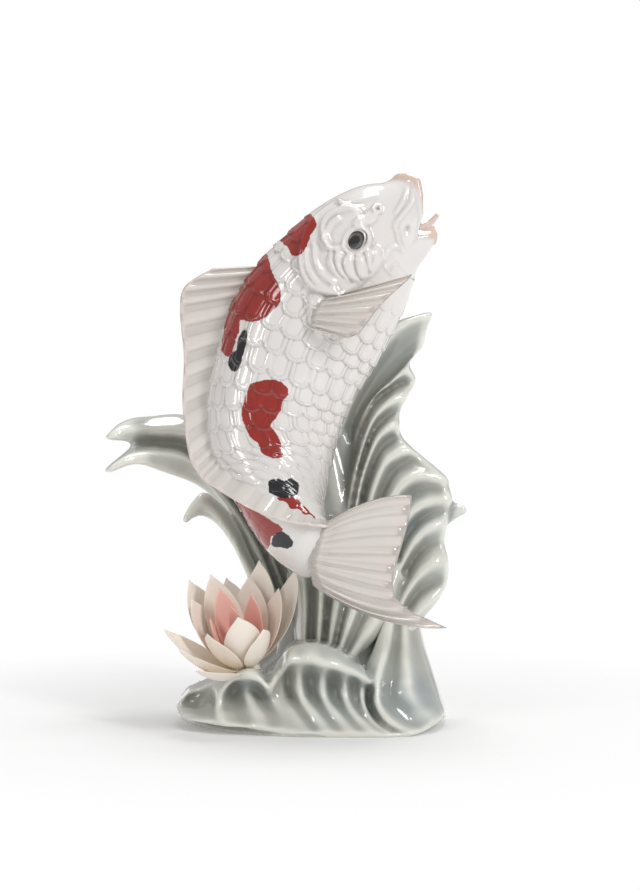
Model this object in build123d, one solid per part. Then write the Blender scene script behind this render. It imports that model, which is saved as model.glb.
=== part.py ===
from build123d import *
import os
from math import cos, pi, radians, sin

# A glazed porcelain carp that leaps out of a breaking wave beside a water lily.
# Millimetres, +Z up. The origin is the centre of the flat underside of the foot. The front is -Y.

# Foot and mound
foot_width = 152.0
foot_depth = 140.0
mound_height = 48.0
mound_sides = 24

# Trunk of water that rises from the mound and carries the fish
trunk_height = 176.0
trunk_lean_x = -20.0
trunk_lean_y = -4.0
trunk_width = 76.0
trunk_depth = 46.0

# Right wave, left splash, rear wave and the breakers at the front
right_wave_height = 225.0
left_splash_reach = 116.0
rear_wave_height = 191.0
breaker_height = 48.0
wave_sheet_thickness = 8.0
splash_sheet_thickness = 7.0

# Fish
fish_length = 250.0
fish_depth = 85.0
fish_breadth = 66.0
body_sides = 24
body_rings = 29
lip_width = 5.0
gill_relief = 2.2
gill_radius = 27.0
gill_station = 3.6
gill_back = -2.0
eye_station = 2.6
eye_back = 8.0
eye_radius = 5.2
eye_set_in = 3.0
barbel_length = 17.0
barbel_radius = 1.7
barbel_sides = 6

# Fins
dorsal_fin_height = 36.0
tail_fin_length = 75.0
pectoral_fin_length = 57.0
fin_root_thickness = 4.0
pectoral_root_thickness = 9.0
fin_tip_thickness = 1.6
fin_web_thickness = 1.0
fin_set_in = 5.0
dorsal_rays = 16
tail_rays = 12
pectoral_rays = 9

# Water lily
lily_x = -32.0
lily_y = -36.0
lily_z = 32.0
lily_reach = 58.0
petal_thickness = 1.3
petal_half_width = 9.0
lily_cup_radius = 9.0

# Spine stations from the mouth to the root of the tail, in shares of the fish's length, from the trunk's top
spine_shares = (
    (0.318, -0.016, 0.444),
    (0.280, -0.016, 0.412),
    (0.232, -0.008, 0.378),
    (0.188, 0.000, 0.336),
    (0.148, 0.008, 0.284),
    (0.098, 0.016, 0.216),
    (0.056, 0.016, 0.150),
    (0.024, 0.008, 0.075),
    (0.000, 0.000, 0.000),
    (-0.008, -0.016, -0.076),
    (0.000, -0.036, -0.144),
    (0.020, -0.080, -0.222),
    (0.046, -0.118, -0.268),
    (0.076, -0.150, -0.296),
    (0.107, -0.176, -0.312),
)
depth_shares = (0.47, 0.57, 0.73, 0.84, 0.92, 0.99, 1.00, 0.94, 0.90, 0.85, 0.79, 0.66, 0.54, 0.45, 0.41)
breadth_shares = (0.36, 0.50, 0.70, 0.83, 0.92, 0.98, 1.00, 0.97, 0.91, 0.85, 0.78, 0.66, 0.55, 0.40, 0.27)
# How far the back has turned from the viewer's left towards the viewer, in degrees, at each station
twist_angles = (0, 0, 0, 0, 0, 0, 0, 2, 6, 16, 42, 84, 118, 146, 162)

# How far each ring leans back from square to the spine, in degrees, so that the mouth opens forwards
tilt_angles = (16, 7, 2, 0, 0, 0, 0, 0, 0, 0, 0, 0, 0, 0, 0)

trunk_top = Vector(trunk_lean_x, trunk_lean_y, trunk_height)
viewer = Vector(0, -1, 0)
stations = len(spine_shares) - 1


def spine_point(station):
    return trunk_top + Vector(*spine_shares[station]) * fish_length


spine = Spline([spine_point(i) for i in range(stations + 1)])
spine_params = [spine.param_at_point(spine_point(i)) for i in range(stations + 1)]


def at_station(values, station):
    """The value at a place between two stations of a table, which may hold numbers or tuples."""
    low = min(int(station), len(values) - 2)
    part = station - low
    if isinstance(values[low], tuple):
        return tuple(a * (1 - part) + b * part for a, b in zip(values[low], values[low + 1]))
    return values[low] * (1 - part) + values[low + 1] * part


def facet(*corners):
    return Face(Wire.make_polygon(corners, close=True))


def strip_cap(ring):
    """Facets that close the end of a sheet, whose ring runs up its front and back down behind it."""
    faces = []
    for i in range(len(ring) // 2 - 1):
        faces.append(facet(ring[i], ring[i + 1], ring[-2 - i]))
        faces.append(facet(ring[i], ring[-2 - i], ring[-1 - i]))
    return faces


def faceted(rings, cap=lambda ring: [facet(*ring)]):
    """A closed solid through rings of as many corners each, with flat three-cornered facets between them."""
    faces = cap(rings[0]) + cap(rings[-1])
    corners = len(rings[0])
    for low, high in zip(rings, rings[1:]):
        for i in range(corners):
            j = (i + 1) % corners
            faces.append(facet(low[i], low[j], high[j]))
            faces.append(facet(low[i], high[j], high[i]))
    return Solid(Shell(faces)).fix()


def at_share(values, share):
    """The value at a share of the whole table's length."""
    return at_station(values, share * (len(values) - 1))


class FishFrame:
    """The fish's own directions at one station: tail-ward, back and right-hand side."""

    def __init__(self, station):
        param = at_station(spine_params, station)
        self.centre = spine @ param
        self.tail = spine.tangent_at(param)
        front = (viewer - self.tail * viewer.dot(self.tail)).normalized()
        across = front.cross(self.tail)
        turn = radians(at_station(twist_angles, station))
        self.back = front * sin(turn) - across * cos(turn)
        self.side = front * cos(turn) + across * sin(turn)
        tilt = radians(at_station(tilt_angles, station))
        self.upright = self.back * cos(tilt) - self.tail * sin(tilt)
        self.half_depth = fish_depth * at_station(depth_shares, station) / 2
        self.half_breadth = fish_breadth * at_station(breadth_shares, station) / 2

    def point(self, tail, back, side):
        return self.centre + self.tail * tail + self.back * back + self.side * side

    def ring(self, grow):
        """One polygon round the body, drawn larger by a margin all round."""
        corners = []
        for corner in range(body_sides):
            angle = 2 * pi * corner / body_sides
            back = (self.half_depth + grow) * cos(angle)
            side = (self.half_breadth + grow) * sin(angle)
            corners.append(self.centre + self.upright * back + self.side * side)
        return corners


def ring_loft(places, grows):
    """A skin through rings at the given stations, each drawn larger or smaller by its own margin."""
    return faceted([FishFrame(p).ring(g) for p, g in zip(places, grows)])


def on_side(station, back, hand):
    """The point of the body's skin at a height above its middle line, on the right or the left hand."""
    frame = FishFrame(station)
    reach = frame.half_breadth * (1 - (back / frame.half_depth) ** 2) ** 0.5
    return frame.point(0, back, reach * hand)


# Koi body: a ruled loft along the spine, with rolled lips round an open mouth, gill covers and eyes
lip_stations = (0.0, 0.12, 0.40, 0.62)
lip_roll_shares = (0.1, 0.36, 0.30, -0.2)
mouth_stations = (0.0, 0.5, 1.2)
mouth_wall_shares = (1.0, 1.5, 2.4)
gill_stations = (2.2, 2.8, 3.4, 4.0, 4.6, 5.2)


def koi_body_shape():
    places = [stations * i / (body_rings - 1) for i in range(body_rings)]
    body = ring_loft(places, [0] * body_rings)
    lips = ring_loft(lip_stations, [lip_width * share for share in lip_roll_shares])
    mouth = ring_loft(mouth_stations, [-lip_width * share for share in mouth_wall_shares])
    gill_band = ring_loft(gill_stations, [gill_relief] * len(gill_stations))
    middle = FishFrame(gill_station)
    start = middle.point(0, gill_back, -fish_breadth)
    disc = Solid.make_cylinder(gill_radius, 2 * fish_breadth, Plane(origin=start, z_dir=middle.side))
    gills = gill_band.intersect(disc)
    body = body.fuse(lips, *gills.solids())
    for hand in (1, -1):
        frame = FishFrame(eye_station)
        centre = on_side(eye_station, eye_back, hand) - frame.side * (hand * eye_set_in)
        body = body.fuse(Solid.make_sphere(eye_radius, Plane(centre), -90, 90))
    return body.cut(mouth)


# Barbels: a taper through three sections, as shares of its length, tail-ward, back-ward and outward
barbel_shares = ((0.67, -0.31, 0.53), (0.21, -0.62, 0.68), (-0.26, -0.64, 0.73))
barbel_radius_shares = (1.0, 0.75, 0.4)


def barbel_shape(hand):
    frame = FishFrame(0)
    rings = []
    for (tail, back, side), radius in zip(barbel_shares, barbel_radius_shares):
        centre = frame.point(tail * barbel_length, back * barbel_length, side * barbel_length * hand)
        corners = []
        for corner in range(barbel_sides):
            angle = 2 * pi * corner / barbel_sides
            size = barbel_radius * radius
            corners.append(centre + frame.side * (size * cos(angle)) + frame.back * (size * sin(angle)))
        rings.append(corners)
    return faceted(rings)


def ray_profile(root, tip, across, root_thickness, tip_thickness, bow):
    """A thin spindle from the root of a fin to its edge, as wide as the fin is thick there."""
    middle = (root + tip) / 2 + across * bow
    half_root = across * (root_thickness / 2)
    half_tip = across * (tip_thickness / 2)
    half_middle = (half_root + half_tip) / 2
    corners = (root - half_root, middle - half_middle, tip - half_tip)
    others = (tip + half_tip, middle + half_middle, root + half_root)
    return corners + others


def fin(roots, tips, acrosses, bow, thickness=fin_root_thickness):
    """A fin's web as one ruled loft, thick at each ray and thin between them."""
    profiles = []
    for i in range(len(roots)):
        ray = i % 2 == 0
        root_thickness = thickness if ray else thickness - fin_web_thickness
        tip_thickness = fin_tip_thickness if ray else fin_tip_thickness - fin_web_thickness
        profiles.append(ray_profile(roots[i], tips[i], acrosses[i], root_thickness, tip_thickness, bow))
    return faceted(profiles)


# Dorsal fin: its height and its lean towards the fish's left, by station along the back
dorsal_places = (5.0, 5.5, 6.0, 7.0, 8.0, 9.0, 9.5, 10.0, 11.0, 12.0, 13.0, 13.9)
dorsal_height_shares = (0.70, 0.95, 0.84, 0.58, 0.46, 0.42, 0.38, 0.36, 0.34, 0.32, 0.24, 0.12)
dorsal_lean_angles = (0, 0, 0, 0, 0, 0, 12, 30, 52, 58, 56, 50)
dorsal_sweep_angle = 38


def dorsal_fin_shape():
    roots, tips, acrosses = [], [], []
    count = 2 * dorsal_rays
    for i in range(count + 1):
        share = i / count
        frame = FishFrame(at_share(dorsal_places, share))
        height = dorsal_fin_height * at_share(dorsal_height_shares, share)
        lean = radians(at_share(dorsal_lean_angles, share))
        sweep = radians(dorsal_sweep_angle)
        up = frame.back * cos(lean) - frame.side * sin(lean)
        across = frame.side * cos(lean) + frame.back * sin(lean)
        ray = up * cos(sweep) + frame.tail * sin(sweep)
        root = frame.point(0, frame.half_depth, 0) - ray * fin_set_in
        roots.append(root)
        tips.append(root + ray * (height + fin_set_in))
        acrosses.append(across)
    return fin(roots, tips, acrosses, 0)


# Tail fin: the places of its edge from the root of the tail, in shares of the fin's length
tail_tip_shares = (
    (0.64, 0.05, 0.41),
    (0.65, 0.03, 0.34),
    (0.59, -0.04, 0.15),
    (0.54, -0.08, -0.04),
    (0.52, -0.10, -0.22),
    (0.55, -0.08, -0.37),
    (0.66, 0.00, -0.52),
    (0.90, 0.17, -0.60),
)
tail_root_shares = ((-0.08, 0.02, 0.16), (-0.12, 0.0, -0.04), (-0.08, 0.0, -0.23))
tail_bow_share = -0.05


def tail_fin_shape():
    base = spine_point(stations)
    roots, tips, acrosses = [], [], []
    count = 2 * tail_rays
    for i in range(count + 1):
        share = i / count
        root = base + Vector(*at_share(tail_root_shares, share)) * tail_fin_length
        tip = base + Vector(*at_share(tail_tip_shares, share)) * tail_fin_length
        ray = (tip - root).normalized()
        roots.append(root)
        tips.append(tip)
        acrosses.append((viewer - ray * viewer.dot(ray)).normalized())
    return fin(roots, tips, acrosses, -tail_fin_length * tail_bow_share)


# Pectoral fins: their edge and root as shares of the fin's length, tail-ward, back-ward and outward
pectoral_station = 5
pectoral_tip_shares = (
    (-0.836, -0.521, 0.586),
    (-0.711, -0.505, 0.628),
    (-0.566, -0.445, 0.671),
    (-0.417, -0.411, 0.715),
    (-0.298, -0.403, 0.756),
    (-0.176, -0.409, 0.781),
    (-0.061, -0.410, 0.805),
    (0.029, -0.322, 0.775),
)
pectoral_root_shares = ((-0.117, 0.088, 0.470), (0.042, 0.032, 0.495), (0.133, -0.091, 0.480))
pectoral_bow_share = 0.05


def pectoral_fin_shape(hand):
    frame = FishFrame(pectoral_station)
    roots, tips, acrosses = [], [], []
    count = 2 * pectoral_rays
    outward = frame.side * hand
    for i in range(count + 1):
        share = i / count
        ends = []
        for shares in (pectoral_root_shares, pectoral_tip_shares):
            tail, back, side = at_share(shares, share)
            size = pectoral_fin_length
            ends.append(frame.point(tail * size, back * size, side * size * hand))
        ray = (ends[1] - ends[0]).normalized()
        roots.append(ends[0])
        tips.append(ends[1])
        acrosses.append((outward - ray * outward.dot(ray)).normalized())
    return fin(roots, tips, acrosses, pectoral_fin_length * pectoral_bow_share, pectoral_root_thickness)


# A tongue of water: a ruled loft through lens-shaped sections with a valley down its front
lens_shares = (
    (1.0, 0.0), (0.72, 0.62), (0.40, 1.0), (0.0, 0.66), (-0.40, 1.0),
    (-0.72, 0.62), (-1.0, 0.0), (-0.5, -0.8), (0.5, -0.8),
)
tongue_thickness_share = 0.6


def tongue(place_shares, width_shares, size, facing):
    points = [Vector(*shares) * size for shares in place_shares]
    sections = []
    for i in range(len(points)):
        ahead = points[min(i + 1, len(points) - 1)]
        behind = points[max(i - 1, 0)]
        along = (ahead - behind).normalized()
        front = (facing - along * facing.dot(along)).normalized()
        across = front.cross(along)
        half_width = width_shares[i] * size
        half_thickness = half_width * tongue_thickness_share
        corners = [points[i] + across * (half_width * a) + front * (half_thickness * b) for a, b in lens_shares]
        sections.append(corners)
    return faceted(sections)


def sheet(net_shares, size, thickness):
    """A sheet of water through a net of points, fluted in front and plain behind."""
    front = [[Vector(*shares) * size for shares in row] for row in net_shares]
    rings = []
    for i, row in enumerate(front):
        beside = front[max(i - 2, 0):i + 3]
        back = [Vector(p.X, max(line[j].Y for line in beside) + thickness, p.Z) for j, p in enumerate(row)]
        rings.append(row + back[::-1])
    return faceted(rings, strip_cap)


# Right wave: a net of ridges and creases, each from the foot to the free edge, in shares of its height
right_wave_net = (
    (
        (0.033, 0.133, 0.174), (0.025, 0.151, 0.377), (0.045, 0.151, 0.581), (0.096, 0.142, 0.759),
        (0.196, 0.129, 0.907), (0.296, 0.111, 1.004),
    ),
    (
        (0.043, 0.098, 0.177), (0.035, 0.107, 0.382), (0.055, 0.107, 0.585), (0.11, 0.098, 0.758),
        (0.221, 0.089, 0.894), (0.306, 0.107, 1.009),
    ),
    (
        (0.053, 0.116, 0.172), (0.045, 0.124, 0.378), (0.065, 0.129, 0.578), (0.126, 0.124, 0.758),
        (0.219, 0.12, 0.865), (0.284, 0.111, 0.923),
    ),
    (
        (0.061, 0.116, 0.169), (0.053, 0.124, 0.375), (0.073, 0.124, 0.573), (0.131, 0.12, 0.751),
        (0.214, 0.116, 0.825), (0.249, 0.107, 0.886),
    ),
    (
        (0.068, 0.093, 0.173), (0.063, 0.098, 0.376), (0.08, 0.098, 0.571), (0.135, 0.089, 0.743),
        (0.216, 0.084, 0.807), (0.265, 0.08, 0.852),
    ),
    (
        (0.076, 0.098, 0.17), (0.068, 0.107, 0.375), (0.083, 0.107, 0.568), (0.138, 0.107, 0.734),
        (0.191, 0.102, 0.778), (0.218, 0.093, 0.793),
    ),
    (
        (0.083, 0.053, 0.174), (0.083, 0.044, 0.377), (0.097, 0.036, 0.562), (0.14, 0.031, 0.711),
        (0.18, 0.04, 0.765), (0.22, 0.062, 0.773),
    ),
    (
        (0.093, 0.062, 0.172), (0.095, 0.071, 0.369), (0.105, 0.076, 0.548), (0.145, 0.076, 0.689),
        (0.185, 0.076, 0.739), (0.215, 0.071, 0.75),
    ),
    (
        (0.1, 0.027, 0.175), (0.105, 0.013, 0.374), (0.112, 0.013, 0.547), (0.149, 0.018, 0.677),
        (0.187, 0.027, 0.716), (0.227, 0.044, 0.719),
    ),
    (
        (0.108, 0.04, 0.173), (0.115, 0.049, 0.367), (0.125, 0.053, 0.533), (0.16, 0.053, 0.651),
        (0.198, 0.053, 0.686), (0.233, 0.053, 0.691),
    ),
    (
        (0.115, 0.013, 0.175), (0.127, 0.004, 0.367), (0.139, 0, 0.523), (0.174, 0.004, 0.628),
        (0.212, 0.018, 0.662), (0.252, 0.031, 0.67),
    ),
    (
        (0.123, 0.036, 0.169), (0.14, 0.036, 0.358), (0.158, 0.04, 0.501), (0.192, 0.04, 0.597),
        (0.232, 0.04, 0.632), (0.28, 0.04, 0.647),
    ),
    (
        (0.132, -0.004, 0.175), (0.154, -0.009, 0.359), (0.177, -0.013, 0.492), (0.214, -0.009, 0.574),
        (0.264, 0.004, 0.608), (0.337, 0.022, 0.599),
    ),
    (
        (0.14, 0.027, 0.168), (0.17, 0.027, 0.349), (0.195, 0.027, 0.47), (0.235, 0.027, 0.543),
        (0.282, 0.022, 0.571), (0.344, 0.018, 0.572),
    ),
    (
        (0.147, -0.009, 0.17), (0.182, -0.018, 0.35), (0.211, -0.018, 0.455), (0.249, -0.013, 0.517),
        (0.294, -0.004, 0.541), (0.351, 0.009, 0.545),
    ),
    (
        (0.158, 0.018, 0.166), (0.195, 0.018, 0.338), (0.225, 0.018, 0.431), (0.26, 0.018, 0.484),
        (0.299, 0.013, 0.509), (0.344, 0.013, 0.517),
    ),
    (
        (0.167, -0.022, 0.17), (0.204, -0.031, 0.332), (0.233, -0.031, 0.412), (0.268, -0.027, 0.461),
        (0.303, -0.018, 0.483), (0.339, 0, 0.488),
    ),
    (
        (0.178, 0.009, 0.163), (0.212, 0.004, 0.312), (0.244, 0.004, 0.38), (0.274, 0, 0.418),
        (0.304, -0.004, 0.436), (0.331, -0.004, 0.439),
    ),
    (
        (0.187, -0.04, 0.17), (0.221, -0.049, 0.294), (0.253, -0.049, 0.352), (0.283, -0.044, 0.381),
        (0.313, -0.036, 0.395), (0.341, -0.018, 0.393),
    ),
    (
        (0.199, -0.018, 0.164), (0.232, -0.018, 0.265), (0.259, -0.018, 0.31), (0.286, -0.018, 0.333),
        (0.314, -0.018, 0.343), (0.338, -0.018, 0.343),
    ),
    (
        (0.214, -0.049, 0.166), (0.241, -0.058, 0.24), (0.263, -0.053, 0.275), (0.285, -0.044, 0.294),
        (0.303, -0.036, 0.305), (0.321, -0.022, 0.306),
    ),
    (
        (0.229, -0.027, 0.161), (0.251, -0.027, 0.206), (0.269, -0.027, 0.236), (0.284, -0.027, 0.256),
        (0.294, -0.027, 0.269), (0.301, -0.022, 0.278),
    ),
)
# Ribs of water below the fish, in shares of the right wave's height
stem_net = (
    (
        (-0.039, -0.062, 0.179), (-0.05, -0.036, 0.3), (-0.07, -0.009, 0.397), (-0.1, 0.027, 0.493),
    ),
    (
        (-0.022, -0.12, 0.182), (-0.022, -0.102, 0.309), (-0.034, -0.062, 0.403),
        (-0.055, -0.018, 0.498),
    ),
    (
        (-0.005, -0.084, 0.177), (0, -0.062, 0.303), (-0.005, -0.031, 0.399), (-0.02, 0.009, 0.495),
    ),
    (
        (0.015, -0.129, 0.181), (0.022, -0.107, 0.31), (0.025, -0.067, 0.404), (0.015, -0.018, 0.498),
    ),
    (
        (0.027, -0.089, 0.175), (0.04, -0.062, 0.298), (0.05, -0.031, 0.399), (0.045, 0.009, 0.495),
    ),
    (
        (0.04, -0.129, 0.179), (0.059, -0.102, 0.299), (0.077, -0.062, 0.398), (0.082, -0.018, 0.498),
    ),
    (
        (0.052, -0.093, 0.171), (0.079, -0.067, 0.284), (0.102, -0.031, 0.384), (0.115, 0.009, 0.495),
    ),
    (
        (0.064, -0.129, 0.174), (0.099, -0.102, 0.274), (0.131, -0.062, 0.366), (0.152, -0.018, 0.473),
    ),
    (
        (0.077, -0.098, 0.167), (0.119, -0.071, 0.255), (0.157, -0.036, 0.337), (0.182, 0, 0.433),
    ),
    (
        (0.094, -0.124, 0.168), (0.143, -0.098, 0.239), (0.186, -0.062, 0.311), (0.214, -0.027, 0.394),
    ),
    (
        (0.114, -0.089, 0.158), (0.169, -0.071, 0.215), (0.214, -0.044, 0.276), (0.239, -0.027, 0.336),
    ),
)
# Finger of water behind the right wave, in shares of its height
right_wave_tongues = (
    (
        (
            (0.221, 0.071, 0.285), (0.241, 0.071, 0.387), (0.271, 0.067, 0.45), (0.316, 0.058, 0.497),
            (0.358, 0.044, 0.516), (0.387, 0.036, 0.519),
        ),
        (0.036, 0.04, 0.04, 0.033, 0.022, 0.013),
    ),
)
# Left splash: nets of ridges and creases from the foot to the tips, in shares of its reach
upper_splash_net = (
    (
        (-0.04, 0.207, 0.366), (-0.129, 0.276, 0.619), (-0.237, 0.328, 0.876), (-0.38, 0.345, 1.146),
        (-0.571, 0.328, 1.42), (-0.812, 0.233, 1.442), (-0.928, 0.129, 1.421), (-1.001, 0.052, 1.359),
    ),
    (
        (-0.049, 0.138, 0.351), (-0.138, 0.198, 0.595), (-0.246, 0.233, 0.852), (-0.397, 0.25, 1.111),
        (-0.577, 0.233, 1.349), (-0.789, 0.164, 1.384), (-0.91, 0.078, 1.386), (-0.99, 0.034, 1.342),
    ),
    (
        (-0.064, 0.164, 0.328), (-0.153, 0.233, 0.56), (-0.256, 0.276, 0.817), (-0.408, 0.284, 1.059),
        (-0.594, 0.267, 1.267), (-0.743, 0.216, 1.311), (-0.828, 0.155, 1.316), (-0.879, 0.112, 1.315),
    ),
    (
        (-0.073, 0.06, 0.329), (-0.161, 0.095, 0.554), (-0.268, 0.129, 0.8), (-0.419, 0.147, 1.034),
        (-0.584, 0.129, 1.221), (-0.745, 0.06, 1.276), (-0.886, -0.017, 1.274),
        (-0.998, -0.069, 1.206),
    ),
    (
        (-0.088, 0.095, 0.309), (-0.181, 0.147, 0.518), (-0.289, 0.181, 0.755), (-0.43, 0.19, 0.975),
        (-0.546, 0.155, 1.101), (-0.722, 0.069, 1.183), (-0.853, -0.009, 1.229),
        (-0.984, -0.069, 1.187),
    ),
)
lower_splash_net = (
    (
        (-0.078, 0.043, 0.346), (-0.175, 0.078, 0.537), (-0.282, 0.095, 0.746), (-0.374, 0.086, 0.942),
        (-0.459, 0.034, 1.05), (-0.525, -0.026, 1.095), (-0.581, -0.078, 1.048),
        (-0.623, -0.112, 0.974),
    ),
    (
        (-0.082, -0.026, 0.347), (-0.189, 0.009, 0.512), (-0.3, 0.026, 0.7), (-0.391, 0.009, 0.883),
        (-0.472, -0.034, 0.999), (-0.533, -0.069, 1.037), (-0.58, -0.103, 1.017),
        (-0.618, -0.121, 0.961),
    ),
    (
        (-0.087, 0.017, 0.335), (-0.204, 0.052, 0.477), (-0.301, 0.069, 0.646), (-0.378, 0.052, 0.814),
        (-0.454, 0.009, 0.931), (-0.52, -0.043, 0.981), (-0.566, -0.086, 0.981),
        (-0.608, -0.121, 0.951),
    ),
)

rear_wave_tongues = (
    (
        ((0.02, 0.17, 0.20), (-0.005, 0.24, 0.43), (-0.035, 0.29, 0.70), (-0.05, 0.33, 0.91), (-0.035, 0.38, 1.0)),
        (0.080, 0.110, 0.112, 0.080, 0.028),
    ),
)
# Breakers that curl over the front, in shares of their height
breaker_tongues = (
    (
        (
            (-1.064, -0.833, 0.294), (-1.026, -0.938, 0.474), (-0.956, -1, 0.634), (-0.852, -1.042, 0.71),
            (-0.737, -1.083, 0.728), (-0.622, -1.146, 0.692), (-0.53, -1.208, 0.61),
            (-0.462, -1.25, 0.525),
        ),
        (0.083, 0.094, 0.104, 0.115, 0.125, 0.104, 0.079, 0.046),
    ),
    (
        (
            (-0.376, -0.792, 0.751), (-0.249, -0.896, 0.917), (-0.066, -0.979, 0.953),
            (0.128, -1.021, 0.936), (0.276, -1.062, 0.885), (0.366, -1.125, 0.815), (0.434, -1.167, 0.741),
        ),
        (0.146, 0.167, 0.177, 0.167, 0.146, 0.104, 0.052),
    ),
    (
        (
            (-0.18, -1, 0.945), (-0.031, -1.146, 0.875), (0.105, -1.229, 0.819), (0.241, -1.25, 0.765),
        ),
        (0.104, 0.094, 0.075, 0.046),
    ),
    (
        (
            (0.288, -0.958, 0.846), (0.435, -1.042, 0.744), (0.583, -1.083, 0.647), (0.731, -1.083, 0.567),
        ),
        (0.125, 0.115, 0.094, 0.062),
    ),
    (
        (
            (-1.058, -0.292, 0.438), (-1.277, -0.333, 0.409), (-1.458, -0.458, 0.324),
            (-1.544, -0.625, 0.212), (-1.442, -0.875, 0.139), (-1.239, -1.083, 0.118),
            (-0.973, -1.25, 0.101),
        ),
        (0.073, 0.073, 0.073, 0.083, 0.083, 0.083, 0.083),
    ),
)
# Hollows below the breakers, in shares of their height
hollow_tongues = (
    (
        (
            (-0.26, -0.993, 0.598), (-0.294, -1.067, 0.472), (-0.202, -1.167, 0.362),
            (-0.042, -1.257, 0.286),
        ),
        (0.062, 0.075, 0.067, 0.033),
    ),
    (
        (
            (0.208, -1.008, 0.577), (0.219, -1.083, 0.452), (0.298, -1.179, 0.353),
        ),
        (0.062, 0.071, 0.033),
    ),
    (
        (
            (0.584, -1.013, 0.555), (0.617, -1.093, 0.419), (0.672, -1.233, 0.293),
        ),
        (0.067, 0.075, 0.037),
    ),
    (
        (
            (-0.819, -0.984, 0.527), (-0.886, -1.053, 0.401), (-0.86, -1.18, 0.295),
        ),
        (0.054, 0.062, 0.033),
    ),
)


def water(tongues, size, facing):
    """Several tongues of water that rise from one root, as one piece."""
    pieces = [tongue(places, widths, size, facing) for places, widths in tongues]
    return pieces[0].fuse(*pieces[1:]) if len(pieces) > 1 else pieces[0]


# Mound and trunk: level sections, each with its height, centre and half widths
mound_section_shares = (
    (0, 0, 0, 0.974, 0.971),
    (0.083, 0, 0, 1, 1),
    (0.188, 0, 0.014, 0.974, 0.957),
    (0.292, 0.013, 0.029, 0.934, 0.886),
    (0.417, 0.066, 0.043, 0.842, 0.8),
    (0.625, 0.211, 0.043, 0.658, 0.714),
    (0.833, 0.276, 0.029, 0.539, 0.671),
    (1, 0.289, 0, 0.474, 0.614),
)
trunk_section_shares = (
    (0.17, -0.8, 0.13, 1, 1.304),
    (0.347, -0.7, 0.217, 0.789, 0.957),
    (0.5, -0.6, 0.391, 0.684, 0.783),
    (0.682, -0.3, 0.522, 0.711, 0.609),
    (0.841, -0, 0.652, 0.737, 0.522),
    (0.96, 0.2, 0.739, 0.579, 0.435),
    (1.011, 0.3, 0.783, 0.316, 0.261),
)


def level_ring(x, y, z, half_x, half_y):
    corners = []
    for corner in range(mound_sides):
        angle = 2 * pi * corner / mound_sides
        corners.append(Vector(x + half_x * cos(angle), y + half_y * sin(angle), z))
    return corners


def mound_rings():
    rings = []
    for height, x, y, half_x, half_y in mound_section_shares:
        centre = (x * foot_width / 2, y * foot_depth / 2, height * mound_height)
        rings.append(level_ring(*centre, half_x * foot_width / 2, half_y * foot_depth / 2))
    return rings


def trunk_rings():
    rings = []
    for height, x, y, half_x, half_y in trunk_section_shares:
        centre = (x * trunk_lean_x, y * trunk_depth, height * trunk_height)
        rings.append(level_ring(*centre, half_x * trunk_width / 2, half_y * trunk_depth / 2))
    return rings


def wave_base_shape():
    breakers = water(breaker_tongues, breaker_height, viewer)
    hollows = water(hollow_tongues, breaker_height, viewer)
    return faceted(mound_rings()).cut(*hollows.solids()).fuse(*breakers.solids())


def right_wave_shape():
    wave = sheet(right_wave_net, right_wave_height, wave_sheet_thickness)
    stems = sheet(stem_net, right_wave_height, wave_sheet_thickness)
    finger = water(right_wave_tongues, right_wave_height, viewer)
    return faceted(trunk_rings()).fuse(wave, stems, finger)


def left_splash_shape():
    upper = sheet(upper_splash_net, left_splash_reach, splash_sheet_thickness)
    return upper.fuse(sheet(lower_splash_net, left_splash_reach, splash_sheet_thickness))


# Water lily: tips of the petals from the flower's centre, in shares of its reach
outer_tip_shares = (
    (-0.78, -0.14, 0.38),
    (-0.62, -0.48, 0.24),
    (-0.43, -0.62, 0.06),
    (-0.55, 0.24, 0.79),
    (-0.52, 0.03, 0.64),
    (0.12, 0.28, 0.98),
    (0.47, 0.20, 0.91),
    (-0.20, 0.50, 0.78),
)
middle_tip_shares = (
    (-0.34, 0.14, 0.86),
    (0.31, 0.07, 0.74),
    (-0.07, -0.34, 0.52),
    (-0.36, -0.34, 0.36),
    (0.17, -0.31, 0.40),
    (0.02, 0.24, 0.83),
)
inner_tip_shares = ((-0.25, -0.03, 0.75), (-0.34, -0.14, 0.48), (0.05, 0.0, 0.69), (-0.14, -0.17, 0.60))
lily_axis = Vector(-0.2, -0.25, 0.95).normalized()
# Along a petal: share of its length, width, cup of its edges and bow outwards
petal_section_shares = (
    (0.0, 0.30, 0.20, 0.0),
    (0.25, 0.80, 0.35, 0.10),
    (0.50, 1.0, 0.38, 0.13),
    (0.75, 0.78, 0.30, 0.09),
    (1.0, 0.06, 0.0, 0.0),
)
receptacle_shares = ((-1.5, 0.8), (-0.2, 1.0), (0.45, 0.75))


def petal_shape(tip_shares, ring_share, width_share):
    centre = Vector(lily_x, lily_y, lily_z)
    tip = centre + Vector(*tip_shares) * lily_reach
    outward = (tip - centre) - lily_axis * (tip - centre).dot(lily_axis)
    root = centre + outward.normalized() * (lily_cup_radius * ring_share)
    along = (tip - root).normalized()
    inward = (lily_axis - along * lily_axis.dot(along)).normalized()
    across = along.cross(inward)
    length = (tip - root).length
    sections = []
    for share, width, cup, bow in petal_section_shares:
        middle = root + along * (share * length) - inward * (bow * length)
        half = petal_half_width * width_share * width
        edge = inward * (cup * half)
        wall = inward * petal_thickness
        outer = (middle - across * half + edge, middle, middle + across * half + edge)
        inner = (outer[2] + wall / 2, middle + wall, outer[0] + wall / 2)
        sections.append(outer + inner)
    return faceted(sections)


def receptacle_shape():
    rings = []
    for rise, size in receptacle_shares:
        radius = lily_cup_radius * size
        rings.append(level_ring(lily_x, lily_y, lily_z + lily_cup_radius * rise, radius, radius))
    return faceted(rings)


def main_solid(shape):
    """The largest solid of a cut shape: what a cut leaves of it in its neighbour's lee is dropped."""
    return max(shape.solids(), key=lambda solid: solid.volume)


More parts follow.
